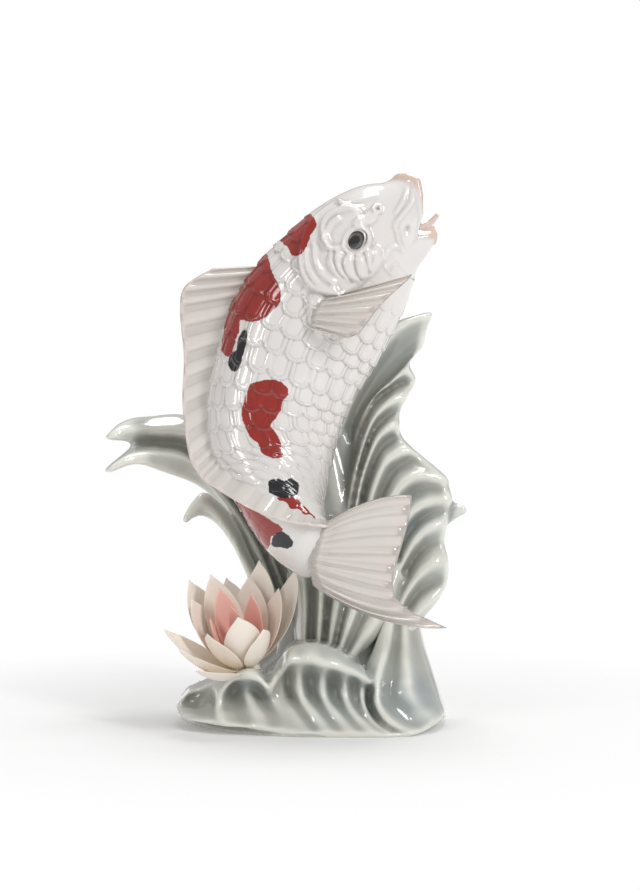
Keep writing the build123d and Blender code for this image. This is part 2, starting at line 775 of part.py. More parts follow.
def meet(one, other):
    """Whether the boxes round two pieces meet."""
    a, b = one.bounding_box(), other.bounding_box()
    return all(low <= high for near, far in ((a, b), (b, a)) for low, high in zip(near.min, far.max))


def seated(shape, neighbours):
    """A piece with its seats cut by the pieces that it rests against."""
    for neighbour in neighbours:
        if meet(shape, neighbour):
            shape = main_solid(shape.cut(neighbour))
    return shape


def build():
    nodes = {}
    body = nodes["koi_body"] = main_solid(koi_body_shape())
    tail = nodes["tail_fin"] = seated(tail_fin_shape(), [body])
    nodes["dorsal_fin"] = seated(dorsal_fin_shape(), [body, tail])
    for hand, side in ((1, "right"), (-1, "left")):
        nodes["pectoral_fin_" + side] = seated(pectoral_fin_shape(hand), [body])
        nodes["barbel_" + side] = seated(barbel_shape(hand), [body])
    fish = list(nodes.values())
    receptacle = nodes["lily_receptacle"] = receptacle_shape()
    waves = []
    for name, shape in (
        ("wave_base", wave_base_shape()),
        ("right_wave", right_wave_shape()),
        ("left_splash", left_splash_shape()),
        ("rear_wave", water(rear_wave_tongues, rear_wave_height, viewer)),
    ):
        nodes[name] = seated(main_solid(shape), fish + [receptacle] + waves)
        waves.append(nodes[name])
    petals = [receptacle]
    for ring, tips, ring_share, width_share in (
        ("outer", outer_tip_shares, 0.7, 1.0),
        ("middle", middle_tip_shares, 0.45, 0.95),
        ("inner", inner_tip_shares, 0.2, 0.7),
    ):
        for number, tip in enumerate(tips, start=1):
            petal = seated(petal_shape(tip, ring_share, width_share), waves + petals)
            nodes[f"lily_petal_{ring}_{number}"] = petal
            petals.append(petal)
    return nodes


os.makedirs("parts", exist_ok=True)
for name, shape in build().items():
    export_step(shape, f"parts/{name}.step")
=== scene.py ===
from math import cos, pi, radians, sin

import bmesh
import bpy
import numpy as np
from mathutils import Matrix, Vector


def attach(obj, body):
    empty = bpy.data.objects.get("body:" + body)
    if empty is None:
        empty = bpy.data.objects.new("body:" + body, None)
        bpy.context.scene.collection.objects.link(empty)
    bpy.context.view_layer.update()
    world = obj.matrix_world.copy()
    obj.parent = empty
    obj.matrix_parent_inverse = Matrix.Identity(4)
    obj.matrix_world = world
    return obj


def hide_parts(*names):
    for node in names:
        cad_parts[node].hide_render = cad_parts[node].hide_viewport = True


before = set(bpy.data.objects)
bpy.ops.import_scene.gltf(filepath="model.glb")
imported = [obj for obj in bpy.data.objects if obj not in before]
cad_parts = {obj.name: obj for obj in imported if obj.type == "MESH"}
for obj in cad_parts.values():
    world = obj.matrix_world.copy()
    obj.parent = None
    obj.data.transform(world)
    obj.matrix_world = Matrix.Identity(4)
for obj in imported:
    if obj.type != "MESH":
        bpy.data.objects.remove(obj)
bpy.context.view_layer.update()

# A glazed porcelain carp that leaps out of a breaking wave beside a water lily.
# Metres, +Z up. The origin is the centre of the underside of the foot, and the front is -Y.

bl_info = {
    "name": "Leaping carp figurine",
    "version": (1, 0, 0),
    "blender": (4, 5, 0),
    "location": "View3D > Sidebar > Figurine",
    "description": "Models a glazed porcelain carp on a wave with a water lily",
    "category": "Add Mesh",
}

MM = 0.001
# The share of a row on either side of a place between which a curve's direction is taken
CURVE_STEP = 0.02
# Points of a closed grid that lie nearer to each other than this become one
WELD_DISTANCE = 0.01 * MM

# The picture's view, which also places what is traced in its pixels
VIEW_RISE = radians(5)
VIEW_DISTANCE = 1.8
VIEW_TARGET = Vector((0.0045, 0.0, 0.154))
PIXEL_SIZE = 0.000559
PICTURE_SIZE = (640, 889)
SENSOR_WIDTH = 36.0
VIEW_BACK = np.array((0, -cos(VIEW_RISE), sin(VIEW_RISE)))
VIEW_UP = np.array((0, sin(VIEW_RISE), cos(VIEW_RISE)))
VIEW_EYE = np.array(VIEW_TARGET) + VIEW_BACK * VIEW_DISTANCE
VIEWER = np.array((0.0, -1.0, 0.0))


def unit(vectors):
    return vectors / np.maximum(np.linalg.norm(vectors, axis=-1, keepdims=True), 1e-12)


def dot(a, b):
    return (a * b).sum(-1)


def column(values):
    return np.asarray(values, float)[:, None]


def smoothstep(low, high, values):
    share = np.clip((values - low) / (high - low), 0, 1)
    return share * share * (3 - 2 * share)


def hump(values, width):
    return np.exp(-(values / width) ** 2)


def through(before, here, there, after, share):
    """A smooth curve from one point to the next, that also heeds their outer neighbours."""
    square, cube = share**2, share**3
    rise = 3 * square - 2 * cube
    slopes = (there - before) / 2 * (cube - 2 * square + share) + (after - here) / 2 * (cube - square)
    return here * (1 - rise) + there * rise + slopes


def neighbours(place, last):
    """The four rows round each place, kept within a table, and the place's share past the second."""
    low = np.clip(np.floor(place).astype(int), 0, last - 1)
    return (np.maximum(low - 1, 0), low, low + 1, np.minimum(low + 2, last)), place - low


def curve_at(table, place):
    """A smooth curve through a table's rows, at places that are counted in rows."""
    table = np.asarray(table, float)
    rows, share = neighbours(place, len(table) - 1)
    if table.ndim > 1:
        share = share[:, None]
    return through(*(table[row] for row in rows), share)


def direction_at(table, place):
    """The direction in which a smooth curve through a table's rows runs."""
    return unit(curve_at(table, place + CURVE_STEP) - curve_at(table, place - CURVE_STEP))


def net_at(net, row, place):
    """A smooth sheet through a net of points, at rows and at places along them."""
    lines = np.stack([curve_at(line, place) for line in net])
    rows, share = neighbours(row, len(net) - 1)
    each = np.arange(len(row))
    return through(*(lines[index, each] for index in rows), share[:, None])


def seen(points):
    """Where points of the object lie in the picture, in its pixels."""
    away = points - VIEW_EYE
    scale = VIEW_DISTANCE / PIXEL_SIZE / -dot(away, VIEW_BACK)
    across, rise = away[:, 0] * scale, dot(away, VIEW_UP) * scale
    return np.stack((PICTURE_SIZE[0] / 2 + across, PICTURE_SIZE[1] / 2 - rise), -1)


def placed(column_pixel, row_pixel, depth):
    """The point of the object that the picture shows at a pixel, at a depth along Y."""
    share = PIXEL_SIZE / VIEW_DISTANCE
    across = (column_pixel - PICTURE_SIZE[0] / 2) * share
    rise = (PICTURE_SIZE[1] / 2 - row_pixel) * share
    ray = VIEW_UP * rise - VIEW_BACK + np.array((1, 0, 0)) * across
    return VIEW_EYE + ray * (depth - VIEW_EYE[1]) / ray[1]


def line_distance(pixels, line):
    """The distance in pixels from each point to a line of straight runs."""
    line = np.asarray(line, float)
    nearest = np.full(len(pixels), np.inf)
    for start, end in zip(line, line[1:]):
        run = end - start
        share = np.clip(dot(pixels - start, run) / dot(run, run), 0, 1)
        nearest = np.minimum(nearest, np.linalg.norm(pixels - start - share[:, None] * run, axis=-1))
    return nearest


def outline_depth(pixels, outline):
    """How deep each point lies inside a closed outline, in pixels, and below zero outside it."""
    outline = np.asarray(outline, float)
    closed = np.vstack((outline, outline[:1]))
    inside = np.zeros(len(pixels), bool)
    for (x0, y0), (x1, y1) in zip(closed, closed[1:]):
        crosses = (y0 > pixels[:, 1]) != (y1 > pixels[:, 1])
        with np.errstate(divide="ignore", invalid="ignore"):
            at = x0 + (pixels[:, 1] - y0) * (x1 - x0) / (y1 - y0)
        inside ^= crosses & (pixels[:, 0] < at)
    return line_distance(pixels, closed) * np.where(inside, 1, -1)


def flowing(line, closed=False):
    """The same line with rounded corners, through its own points."""
    line = tuple(line) + tuple(line[:1]) * closed
    points = curve_at(line, np.linspace(0, len(line) - 1, 2 * len(line) - 1))
    return points[:-1] if closed else points


def grid_piece(name, columns, rows, place, material, closed=True):
    """A bmesh grid whose points are moved to place(u, v), with u and v from 0 to 1, and then closed up."""
    bm = bmesh.new()
    bm.loops.layers.uv.new("UVMap")
    bmesh.ops.create_grid(bm, x_segments=columns, y_segments=rows, size=0.5, calc_uvs=True)
    flat = np.array([vert.co[:2] for vert in bm.verts]) + 0.5
    points = place(flat[:, 0], flat[:, 1])
    for vert, point in zip(bm.verts, points):
        vert.co = point
    if closed:
        bmesh.ops.remove_doubles(bm, verts=bm.verts, dist=WELD_DISTANCE)
        bmesh.ops.recalc_face_normals(bm, faces=bm.faces)
    for face in bm.faces:
        face.smooth = True
    mesh = bpy.data.meshes.new(name)
    bm.to_mesh(mesh)
    bm.free()
    mesh.materials.append(material)
    piece = bpy.data.objects.new(name, mesh)
    bpy.context.collection.objects.link(piece)
    return piece


def mesh_points(piece):
    points = np.empty(len(piece.data.vertices) * 3)
    piece.data.vertices.foreach_get("co", points)
    return points.reshape(-1, 3)


def point_places(piece):
    """Where each point of a piece lies on its grid, from its UV map."""
    loops = len(piece.data.loops)
    uv = np.empty(loops * 2)
    piece.data.uv_layers[0].uv.foreach_get("vector", uv)
    corners = np.empty(loops, int)
    piece.data.loops.foreach_get("vertex_index", corners)
    places = np.zeros((len(piece.data.vertices), 2))
    places[corners] = uv.reshape(-1, 2)
    return places


def store(piece, name, values):
    """Keeps one number for each point of a piece, for its material to read."""
    attribute = piece.data.attributes.new(name, "FLOAT", "POINT")
    attribute.data.foreach_set("value", np.asarray(values, np.float32))


def settle(piece, slot, *nodes):
    """Makes a piece ride on the figurine and stand for its nodes, whose parts it hides; its slot is not
    used.
    """
    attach(piece, "root")
    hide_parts(*nodes)


class Value:
    """One output of a node, on which Python's arithmetic adds Math nodes."""

    def __init__(self, shade, socket):
        self.shade = shade
        self.socket = socket

    def math(self, operation, *others, clamp=False):
        inputs = dict(enumerate((self,) + others))
        return self.shade.node("ShaderNodeMath", {"operation": operation, "use_clamp": clamp}, inputs)

    def __add__(self, other):
        return self.math("ADD", other)

    def __sub__(self, other):
        return self.math("SUBTRACT", other)

    def __rsub__(self, other):
        return (self * -1) + other

    def __mul__(self, other):
        return self.math("MULTIPLY", other)

    def __truediv__(self, other):
        return self.math("DIVIDE", other)

    def above(self, level, softness):
        """A mask that goes from 0 to 1 as the value passes a level."""
        return ((self - level) / softness + 0.5).clamped()

    def clamped(self):
        """The value, kept between 0 and 1."""
        return self.math("ADD", 0.0, clamp=True)


class Shade:
    """A material and the short ways to its nodes."""

    def __init__(self, name):
        self.material = bpy.data.materials.new(name)
        self.material.use_nodes = True
        self.tree = self.material.node_tree
        self.shader = self.tree.nodes["Principled BSDF"]
        self.place = self.node("ShaderNodeTexCoord", {}, {}, "Object")

    def node(self, kind, settings, inputs, output=0):
        made = self.tree.nodes.new(kind)
        for name, value in settings.items():
            setattr(made, name, value)
        for name, value in inputs.items():
            self.feed(made.inputs[name], value)
        return Value(self, made.outputs[output])

    def feed(self, socket, value):
        if isinstance(value, Value):
            self.tree.links.new(value.socket, socket)
        else:
            socket.default_value = value

    def noise(self, scale, detail=2.0, roughness=0.5):
        inputs = {"Vector": self.place, "Scale": scale, "Detail": detail, "Roughness": roughness}
        return self.node("ShaderNodeTexNoise", {}, inputs)

    def swing(self, reach, scale, detail):
        """Noise about zero, by a reach either way."""
        return self.noise(scale, detail) * (2 * reach) - reach

    def clouds(self, scale, detail, level, softness):
        """Soft-edged patches where the noise passes a level."""
        return self.noise(scale, detail).above(level, softness)

    def stored(self, name):
        return self.node("ShaderNodeAttribute", {"attribute_name": name}, {}, "Fac")

    def uv(self):
        made = self.node("ShaderNodeUVMap", {"uv_map": "UVMap"}, {})
        parts = self.tree.nodes.new("ShaderNodeSeparateXYZ")
        self.feed(parts.inputs[0], made)
        return Value(self, parts.outputs[0]), Value(self, parts.outputs[1])

    def mix(self, share, low, high):
        """A colour between two, by a share."""
        made = self.tree.nodes.new("ShaderNodeMix")
        made.data_type = "RGBA"
        self.feed(made.inputs[0], share)
        self.feed(made.inputs[6], low)
        self.feed(made.inputs[7], high)
        return Value(self, made.outputs[2])

    def bump(self, height, strength, distance):
        inputs = {"Height": height, "Strength": strength, "Distance": distance}
        self.set("Normal", self.node("ShaderNodeBump", {}, inputs))

    def set(self, name, value):
        self.feed(self.shader.inputs[name], value)


def colour(rgb):
    return (*rgb, 1.0)


def sizes():
    return bpy.context.scene.figurine_sizes


def paints():
    return bpy.context.scene.figurine_paints


def length_prop(name, description, default):
    return bpy.props.FloatProperty(
        name=name, description=description, default=default, min=0.0, unit="LENGTH"
    )


def colour_prop(name, description, default):
    return bpy.props.FloatVectorProperty(
        name=name, description=description, default=default, min=0.0, max=1.0, size=3, subtype="COLOR"
    )


class FigurineSizes(bpy.types.PropertyGroup):
    """The figurine's driving sizes."""

    fish_length: length_prop("Fish length", "Length of the fish along its bent spine's chord", 0.250)
    fish_depth: length_prop("Fish depth", "Depth of the trunk from back to belly", 0.085)
    fish_breadth: length_prop("Fish breadth", "Breadth of the trunk from side to side", 0.066)
    scale_rise: length_prop("Scale relief", "Height of a scale's free edge", 0.0011)
    fin_relief: length_prop("Fin relief", "Depth of the valleys between the fin rays", 0.0014)
    water_voxel: length_prop("Water grain", "Size of the grid that joins the water into one skin", 0.0013)
    lily_reach: length_prop("Lily reach", "Length of the water lily's longest petals", 0.058)
    petal_thickness: length_prop("Petal thickness", "Thickness of a petal at its middle", 0.0013)


class FigurinePaints(bpy.types.PropertyGroup):
    """The figurine's colours."""

    white: colour_prop("Body white", "Porcelain under clear glaze", (0.80, 0.775, 0.75))
    coral: colour_prop("Coral red", "Painted patches", (0.35, 0.022, 0.014))
    ink: colour_prop("Black", "Painted patches and pupils", (0.012, 0.013, 0.016))
    # Painted shade: the grey that the creases between the scales and the grooves between the fin rays darken
    # to
    crease_shade: colour_prop("Crease", "Glaze pooled between the scales", (0.34, 0.31, 0.29))
    blush: colour_prop("Blush", "Lips, barbels and the edges of the fins", (0.72, 0.54, 0.46))
    water: colour_prop("Water", "Grey-green glaze where it lies thin", (0.50, 0.50, 0.455))
    # Pooled glaze together with painted shade: the darker grey-green in the water's folds
    water_pool_and_shade: colour_prop("Water folds", "Grey-green glaze where it pools", (0.25, 0.26, 0.225))
    water_blue: colour_prop("Water blue", "Blue wash on the crests", (0.37, 0.42, 0.43))
    ivory: colour_prop("Ivory", "Outer petals", (0.93, 0.85, 0.76))
    rose: colour_prop("Rose", "Inner petals", (0.87, 0.41, 0.35))


TRUNK_TOP = np.array((-0.020, -0.004, 0.176))
SPINE_SHARES = (
    (0.318, -0.016, 0.444), (0.280, -0.016, 0.412), (0.232, -0.008, 0.378), (0.188, 0.000, 0.336),
    (0.148, 0.008, 0.284), (0.098, 0.016, 0.216), (0.056, 0.016, 0.150), (0.024, 0.008, 0.075),
    (0.000, 0.000, 0.000), (-0.008, -0.016, -0.076), (0.000, -0.036, -0.144), (0.020, -0.080, -0.222),
    (0.046, -0.118, -0.268), (0.076, -0.150, -0.296), (0.107, -0.176, -0.312),
)
DEPTH_SHARES = (0.47, 0.57, 0.73, 0.84, 0.92, 0.99, 1.00, 0.94, 0.90, 0.85, 0.79, 0.66, 0.54, 0.45, 0.41)
BREADTH_SHARES = (0.36, 0.50, 0.70, 0.83, 0.92, 0.98, 1.00, 0.97, 0.91, 0.85, 0.78, 0.66, 0.55, 0.40, 0.27)
TWIST_ANGLES = (0, 0, 0, 0, 0, 0, 0, 2, 6, 16, 42, 84, 118, 146, 162)
TILT_ANGLES = (16, 7, 2, 0, 0, 0, 0, 0, 0, 0, 0, 0, 0, 0, 0)
STATIONS = len(SPINE_SHARES) - 1


class FishFrames:
    """The fish's own directions at each of many stations: tail-ward, back and right-hand side."""

    def __init__(self, station):
        size = sizes()
        self.centre = TRUNK_TOP + curve_at(SPINE_SHARES, station) * size.fish_length
        self.tail = direction_at(SPINE_SHARES, station)
        front = unit(VIEWER - self.tail * column(dot(self.tail, VIEWER)))
        across = np.cross(front, self.tail)
        within = np.clip(station, 0, STATIONS)
        turn = np.radians(curve_at(TWIST_ANGLES, within))[:, None]
        self.back = front * np.sin(turn) - across * np.cos(turn)
        self.side = front * np.cos(turn) + across * np.sin(turn)
        tilt = np.radians(curve_at(TILT_ANGLES, within))[:, None]
        self.upright = self.back * np.cos(tilt) - self.tail * np.sin(tilt)
        self.half_depth = size.fish_depth * curve_at(DEPTH_SHARES, within) / 2
        self.half_breadth = size.fish_breadth * curve_at(BREADTH_SHARES, within) / 2

    def ring(self, angle, grow):
        """Points at an angle round the body, and the way out of the skin there."""
        cosine, sine = np.cos(angle), np.sin(angle)
        back = self.upright * column((self.half_depth + grow) * cosine)
        side = self.side * column((self.half_breadth + grow) * sine)
        out = self.upright * column(cosine / self.half_depth) + self.side * column(sine / self.half_breadth)
        return self.centre + back + side, unit(out)

    def at(self, tail, back, side):
        return self.centre + self.tail * column(tail) + self.back * column(back) + self.side * column(side)


# From inside the mouth over the lips to the tail: station along the spine and growth of the ring
MOUTH_RUN = (
    (1.30, -14.0 * MM), (0.70, -9.0 * MM), (0.25, -6.0 * MM), (0.05, -4.4 * MM), (-0.03, -2.6 * MM),
    (-0.05, -0.8 * MM), (0.02, 0.9 * MM), (0.14, 1.7 * MM), (0.30, 1.5 * MM), (0.46, 0.5 * MM), (0.66, 0.0),
)
MOUTH_SHARE = 0.09
# From the chin to the brow: how far the lips reach forward, in mm, and their blush back, in stations
LIP_REACH = (
    (-1.0, 1.0), (-0.86, 3.0), (-0.72, -2.0), (-0.55, -8.0), (-0.40, -5.0), (-0.2, 0.0), (0.2, 4.0),
    (0.6, 6.0), (0.85, 2.5), (1.0, -2.0),
)
LIP_BLUSH = ((-1.0, 0.45), (-0.75, 0.35), (-0.5, 0.0), (-0.2, 0.10), (0.3, 0.22), (0.7, 0.42), (1.0, 0.62))

# Reliefs on the side of the head, as lines and outlines in the picture's pixels
GILL_COVER = (
    (336, 197), (316, 213), (306, 232), (300, 250), (299, 262), (302, 277), (311, 289), (325, 295),
    (340, 297), (352, 292), (362, 284), (370, 268), (372, 240), (360, 210),
)
GILL_LINES = (
    ((309, 252), (309, 264), (313, 275), (321, 285), (331, 289)),
    ((317, 246), (317, 258), (320, 268), (326, 276), (334, 281)),
    ((334, 287), (338, 293), (343, 299)),
)
BROW_LINES = (
    ((327, 240), (325, 230), (329, 220), (338, 213), (350, 209), (362, 208)),
    ((331, 247), (329, 236), (334, 225), (341, 220)),
    ((327, 240), (331, 247), (337, 249), (345, 247)),
)
CHEEK_SHELL = (
    (329, 252), (327, 260), (329, 268), (335, 276), (343, 281), (353, 283), (364, 281), (374, 275),
    (381, 266), (384, 256), (381, 247), (374, 244), (364, 250), (350, 252), (338, 248),
)
CHEEK_FLUTES = (
    ((336, 252), (335, 260), (338, 270), (344, 277)),
    ((346, 254), (343, 263), (346, 273), (352, 280)),
    ((355, 254), (355, 264), (357, 273), (361, 279)),
    ((364, 253), (367, 262), (368, 272)),
)
LIP_LINES = (
    ((407, 196), (408, 205), (402, 214), (396, 222), (395, 229)),
    ((401, 194), (400, 203), (395, 213)),
    ((397, 232), (399, 241), (402, 246)),
)
BROW_PLATE = (
    (352, 226), (358, 219), (366, 213), (373, 207), (378, 206), (380, 212), (377, 220), (368, 226),
    (358, 229),
)
NOSTRIL_PIXEL = (377.5, 209.0)
EYE_PIXEL = (357.5, 240.5)
BARBEL_PIXEL = (407, 229)
FACE_FOLDS = (
    ((384, 258), (388, 250), (396, 246), (402, 250)),
    ((386, 268), (392, 274), (396, 266)),
    ((344, 204), (360, 200), (376, 196)),
)

# Ridges along lines, and furrows where the height is negative: height in mm and half width in pixels
HEAD_RIDGES = (
    (GILL_LINES, 1.0, 3.0), (BROW_LINES, 1.1, 2.6), (CHEEK_FLUTES, -1.1, 1.8), (LIP_LINES, 0.9, 1.9),
    (FACE_FOLDS, 0.6, 2.2),
)
# Plates within outlines: height in mm, and the depths in pixels inside the outline between which they rise
HEAD_PLATES = ((GILL_COVER, 1.5, -1.5, 4.0), (CHEEK_SHELL, 1.9, -1.0, 7.0), (BROW_PLATE, 1.2, -1.0, 4.0))
# Rims: height in mm, then the place and the half width in pixels
GILL_RIM = (1.0, 3.5, 2.6)
GILL_RIM_END = 345
NOSTRIL_RIM = (1.0, 3.4, 1.4)
SOCKET_RIM = (0.8, 11.5, 1.6)
# Round pits: depth in mm and half width in pixels
NOSTRIL_PIT = (1.2, 1.8)
BARBEL_PIT = (1.4, 4.0)
# The socket is an oval: its short and long directions, each divided by its share of the radius
SOCKET_DIRECTIONS = ((0.57, -0.57), (0.76, 0.76))
SOCKET_DEPTH = 1.6
SOCKET_EDGES = (10.8, 8.0)
HEAD_RELIEF_SCALE = 1.6


def rim(values, height, place, width):
    return height * hump(values - place, width)


def head_relief(pixels):
    """How far the reliefs on the side of the head stand out at pixels of the picture."""
    relief = np.zeros(len(pixels))
    for outline, height, low, high in HEAD_PLATES:
        relief += height * smoothstep(low, high, outline_depth(pixels, flowing(outline, True)))
    for lines, height, width in HEAD_RIDGES:
        for line in lines:
            relief += height * hump(line_distance(pixels, flowing(line)), width)
    cover = outline_depth(pixels, flowing(GILL_COVER, True))
    relief += rim(cover, *GILL_RIM) * (pixels[:, 0] < GILL_RIM_END)
    nostril = np.linalg.norm(pixels - NOSTRIL_PIXEL, axis=-1)
    relief += rim(nostril, *NOSTRIL_RIM) - NOSTRIL_PIT[0] * hump(nostril, NOSTRIL_PIT[1])
    socket = np.hypot(*((pixels - EYE_PIXEL) @ direction for direction in SOCKET_DIRECTIONS))
    relief += rim(socket, *SOCKET_RIM) - SOCKET_DEPTH * smoothstep(*SOCKET_EDGES, socket)
    relief -= BARBEL_PIT[0] * hump(np.linalg.norm(pixels - BARBEL_PIXEL, axis=-1), BARBEL_PIT[1])
    return relief * HEAD_RELIEF_SCALE * MM


# The muscle that the pectoral fin grows from
STALK = ((317, 304), (319, 316), (324, 327))
STALK_RISE = 3.4 * MM
STALK_EDGES = (13.0, 3.0)
STALK_FOLD = 0.35 * MM
STALK_FOLD_TURN = 1.9
STALK_FOLD_EDGES = (14.0, 8.0)


def stalk_relief(pixels):
    reach = line_distance(pixels, STALK)
    folds = STALK_FOLD * np.cos(reach * STALK_FOLD_TURN) * smoothstep(*STALK_FOLD_EDGES, reach)
    return STALK_RISE * smoothstep(*STALK_EDGES, reach) + folds


# Painted patches on the right flank, as outlines in the picture's pixels
RED_PATCHES = (
    (
        (311, 214), (317, 224), (310, 236), (307, 246), (300, 255), (292, 255), (287, 246), (279, 240),
        (284, 228), (296, 216),
    ),
    (
        (262, 249), (268, 256), (272, 272), (280, 288), (280, 302), (272, 311), (262, 319), (250, 322),
        (240, 320), (239, 332), (234, 344), (229, 357), (221, 350), (223, 335), (226, 316), (230, 300),
        (243, 280), (253, 262),
    ),
    (
        (250, 384), (262, 380), (276, 380), (286, 386), (288, 395), (282, 402), (281, 410), (274, 420),
        (271, 427), (279, 437), (282, 448), (282, 457), (272, 458), (261, 452), (259, 444), (249, 436),
        (243, 421), (241, 411), (245, 398),
    ),
    ((277, 498), (292, 496), (306, 507), (318, 523), (304, 523), (287, 511)),
    (
        (234, 497), (246, 503), (257, 511), (272, 521), (283, 529), (278, 534), (271, 537), (270, 545),
        (264, 550), (254, 540), (243, 522),
    ),
)
BLACK_PATCHES = (
    ((246, 328), (246, 338), (243, 352), (236, 371), (229, 366), (230, 357), (237, 350), (239, 338)),
    (
        (269, 482), (276, 479), (284, 482), (291, 479), (298, 484), (297, 493), (288, 497), (279, 496),
        (270, 492),
    ),
    ((274, 536), (283, 532), (292, 542), (288, 547), (279, 546), (272, 544)),
)
LEFT_PATCH_SHIFT = (10.0, 26.0)
# The far side stays bare where its twin hardly faces the viewer, and from this station on
BARE_FACING = 0.1
BARE_STATION = 10
BARE_DEPTH = -20.0

SCALES_ROUND = 20
SCALE_START_STATION = 2.6
# A scale of this width has the whole relief
FULL_SCALE_WIDTH = 11.4 * MM
# Within a scale, in shares of its width: where its rounded end starts, how long it shows and its soft edge
SCALE_END_PLACE = 0.55
SCALE_RUN = 1.5
SCALE_EDGE = 0.06
# Rims round a scale's free edge, in shares: height, place and half width
SCALE_RIMS = ((0.50, 0.07, 0.06), (-0.30, 0.17, 0.06))
TABLE_STEPS = 600


def scale_rows(station):
    """How many rows of scales lie between the head and a station."""
    places = np.linspace(SCALE_START_STATION, STATIONS, TABLE_STEPS)
    frames = FishFrames(places)
    runs = np.linalg.norm(np.diff(frames.centre, axis=0), axis=-1)
    girth = pi * np.sqrt(2 * (frames.half_depth**2 + frames.half_breadth**2))
    widths = (girth[1:] + girth[:-1]) / 2 / SCALES_ROUND
    rows = np.concatenate(((0,), np.cumsum(runs / widths)))
    return np.interp(station, places, rows), np.interp(station, places, girth / SCALES_ROUND)


def scale_relief(station, angle):
    """Overlapping rows of rounded scales, each rising to a rimmed free edge at its tail-ward end."""
    row, width = scale_rows(station)
    around = angle / (2 * pi) * SCALES_ROUND
    covered = np.full(len(row), False)
    relief = np.zeros(len(row))
    for step in (-2, -1, 0, 1):
        index = np.floor(row) + step
        offset = np.where(index % 2 == 0, 0.0, 0.5)
        across = (around - offset + 0.5) % 1.0 - 0.5
        ahead = row - index - SCALE_END_PLACE
        inset = 0.5 - np.hypot(across, np.maximum(ahead, 0))
        here = (inset >= 0) & ~covered
        tilt = 1.0 - np.clip((0.5 - ahead) / SCALE_RUN, 0, 1)
        rims = sum(rim(inset, *shape) for shape in SCALE_RIMS)
        relief = np.where(here, (tilt + rims) * smoothstep(0.0, SCALE_EDGE, inset), relief)
        covered |= here
    return relief * width / FULL_SCALE_WIDTH


TAIL_TAPER = 7.5 * MM
# Where the body's reliefs begin and end, in stations along the spine
TAPER_STATIONS = (STATIONS - 1.1, STATIONS + 0.1)
SCALED_STATIONS = (2.4, 4.6)
FADING_STATIONS = (STATIONS, STATIONS - 5.0)
FACE_STATIONS = (5.6, 4.6)
LIP_STATIONS = (1.5, 0.1)
# The back's scales begin further forward than the belly's, by stations
SCALE_SLANT = 0.6
# The gill cover's edge, in pixels, over which the scales set in
COVER_EDGES = (2.0, -2.5)
# Reliefs of the flank fade towards the ridge of the back and the belly, by the cosine of the angle
FLANK_EDGES = (1.0, 0.82)
# The places along the grid between which the reliefs set in outside the mouth
OUTER_PLACES = (MOUTH_SHARE * 0.8, MOUTH_SHARE * 1.05)
BODY_GRID = (430, 208)


class BodySkin:
    """The carp's skin from the inside of its mouth to the root of its tail."""

    def stations(self, u):
        mouth_place = np.clip(u / MOUTH_SHARE, 0, 1) * (len(MOUTH_RUN) - 1)
        mouth = curve_at(MOUTH_RUN, mouth_place)
        trunk = np.clip((u - MOUTH_SHARE) / (1 - MOUTH_SHARE), 0, 1)
        start = MOUTH_RUN[-1][0]
        station = np.where(u < MOUTH_SHARE, mouth[:, 0], start + trunk * (TAPER_STATIONS[1] - start))
        taper = -TAIL_TAPER * smoothstep(*TAPER_STATIONS, station) ** 2
        grow = np.where(u < MOUTH_SHARE, mouth[:, 1], taper)
        return station, grow

    def place(self, u, v):
        angle = 2 * pi * v
        station, grow = self.stations(u)
        frames = FishFrames(station)
        points, out = frames.ring(angle, grow)
        right = np.where(np.sin(angle) >= 0, angle, -angle)
        twins, _ = frames.ring(right, grow)
        pixels = seen(twins)
        head = outline_depth(pixels, GILL_COVER)
        slanted = station + SCALE_SLANT * np.cos(angle)
        on_trunk = smoothstep(*COVER_EDGES, head) * smoothstep(*SCALED_STATIONS, slanted)
        scales = scale_relief(station, angle) * sizes().scale_rise
        tail_fade = smoothstep(*FADING_STATIONS, station)
        outer = smoothstep(*OUTER_PLACES, u)
        flank = smoothstep(*FLANK_EDGES, np.abs(np.cos(angle)))
        face = head_relief(pixels) * smoothstep(*FACE_STATIONS, station) * flank
        face = face + stalk_relief(pixels) * flank
        relief = (scales * on_trunk * tail_fade + face) * outer
        forward = np.interp(np.cos(angle), *np.transpose(LIP_REACH)) * MM
        forward = forward * smoothstep(*LIP_STATIONS, station)
        points = points + out * column(relief) - frames.tail * column(forward)
        ends = (u < 1e-6) | (u > 1 - 1e-6)
        return np.where(ends[:, None], frames.centre, points)

    def paint(self, points, u, v):
        """How deep each point lies inside a red or a black patch, in the picture's pixels."""
        angle = 2 * pi * v
        station, grow = self.stations(u)
        frames = FishFrames(station)
        _, out = frames.ring(angle, grow)
        facing = out @ VIEWER > 0
        twins, twin_out = frames.ring(-angle, grow)
        pixels = np.where(facing[:, None], seen(points), seen(twins) - LEFT_PATCH_SHIFT)
        bare = ~facing & ((twin_out @ VIEWER < BARE_FACING) | (station > BARE_STATION))
        for patches in (RED_PATCHES, BLACK_PATCHES):
            depths = [outline_depth(pixels, flowing(outline, True)) for outline in patches]
            yield np.where(bare, BARE_DEPTH, np.max(depths, axis=0))


def spread(values, pairs, counts, times):
    """Averages each point's value with its neighbours', several times over."""
    for _ in range(times):
        total = np.zeros_like(values)
        np.add.at(total, pairs[:, 0], values[pairs[:, 1]])
        np.add.at(total, pairs[:, 1], values[pairs[:, 0]])
        values = (values + total / counts) / 2
    return values


def note_hollows(piece, times, depth):
    """Stores at each point of a skin how far it lies under its softened surroundings."""
    mesh = piece.data
    points = mesh_points(piece)
    pairs = np.empty(len(mesh.edges) * 2, int)
    mesh.edges.foreach_get("vertices", pairs)
    pairs = pairs.reshape(-1, 2)
    counts = np.bincount(pairs.ravel(), minlength=len(points))[:, None].astype(float)
    normals = np.empty(len(points) * 3)
    mesh.vertex_normals.foreach_get("vector", normals)
    normals = normals.reshape(-1, 3)
    soft = spread(points, pairs, counts, times)
    store(piece, "hollow", np.clip(dot(soft - points, normals) / depth, -3, 3))


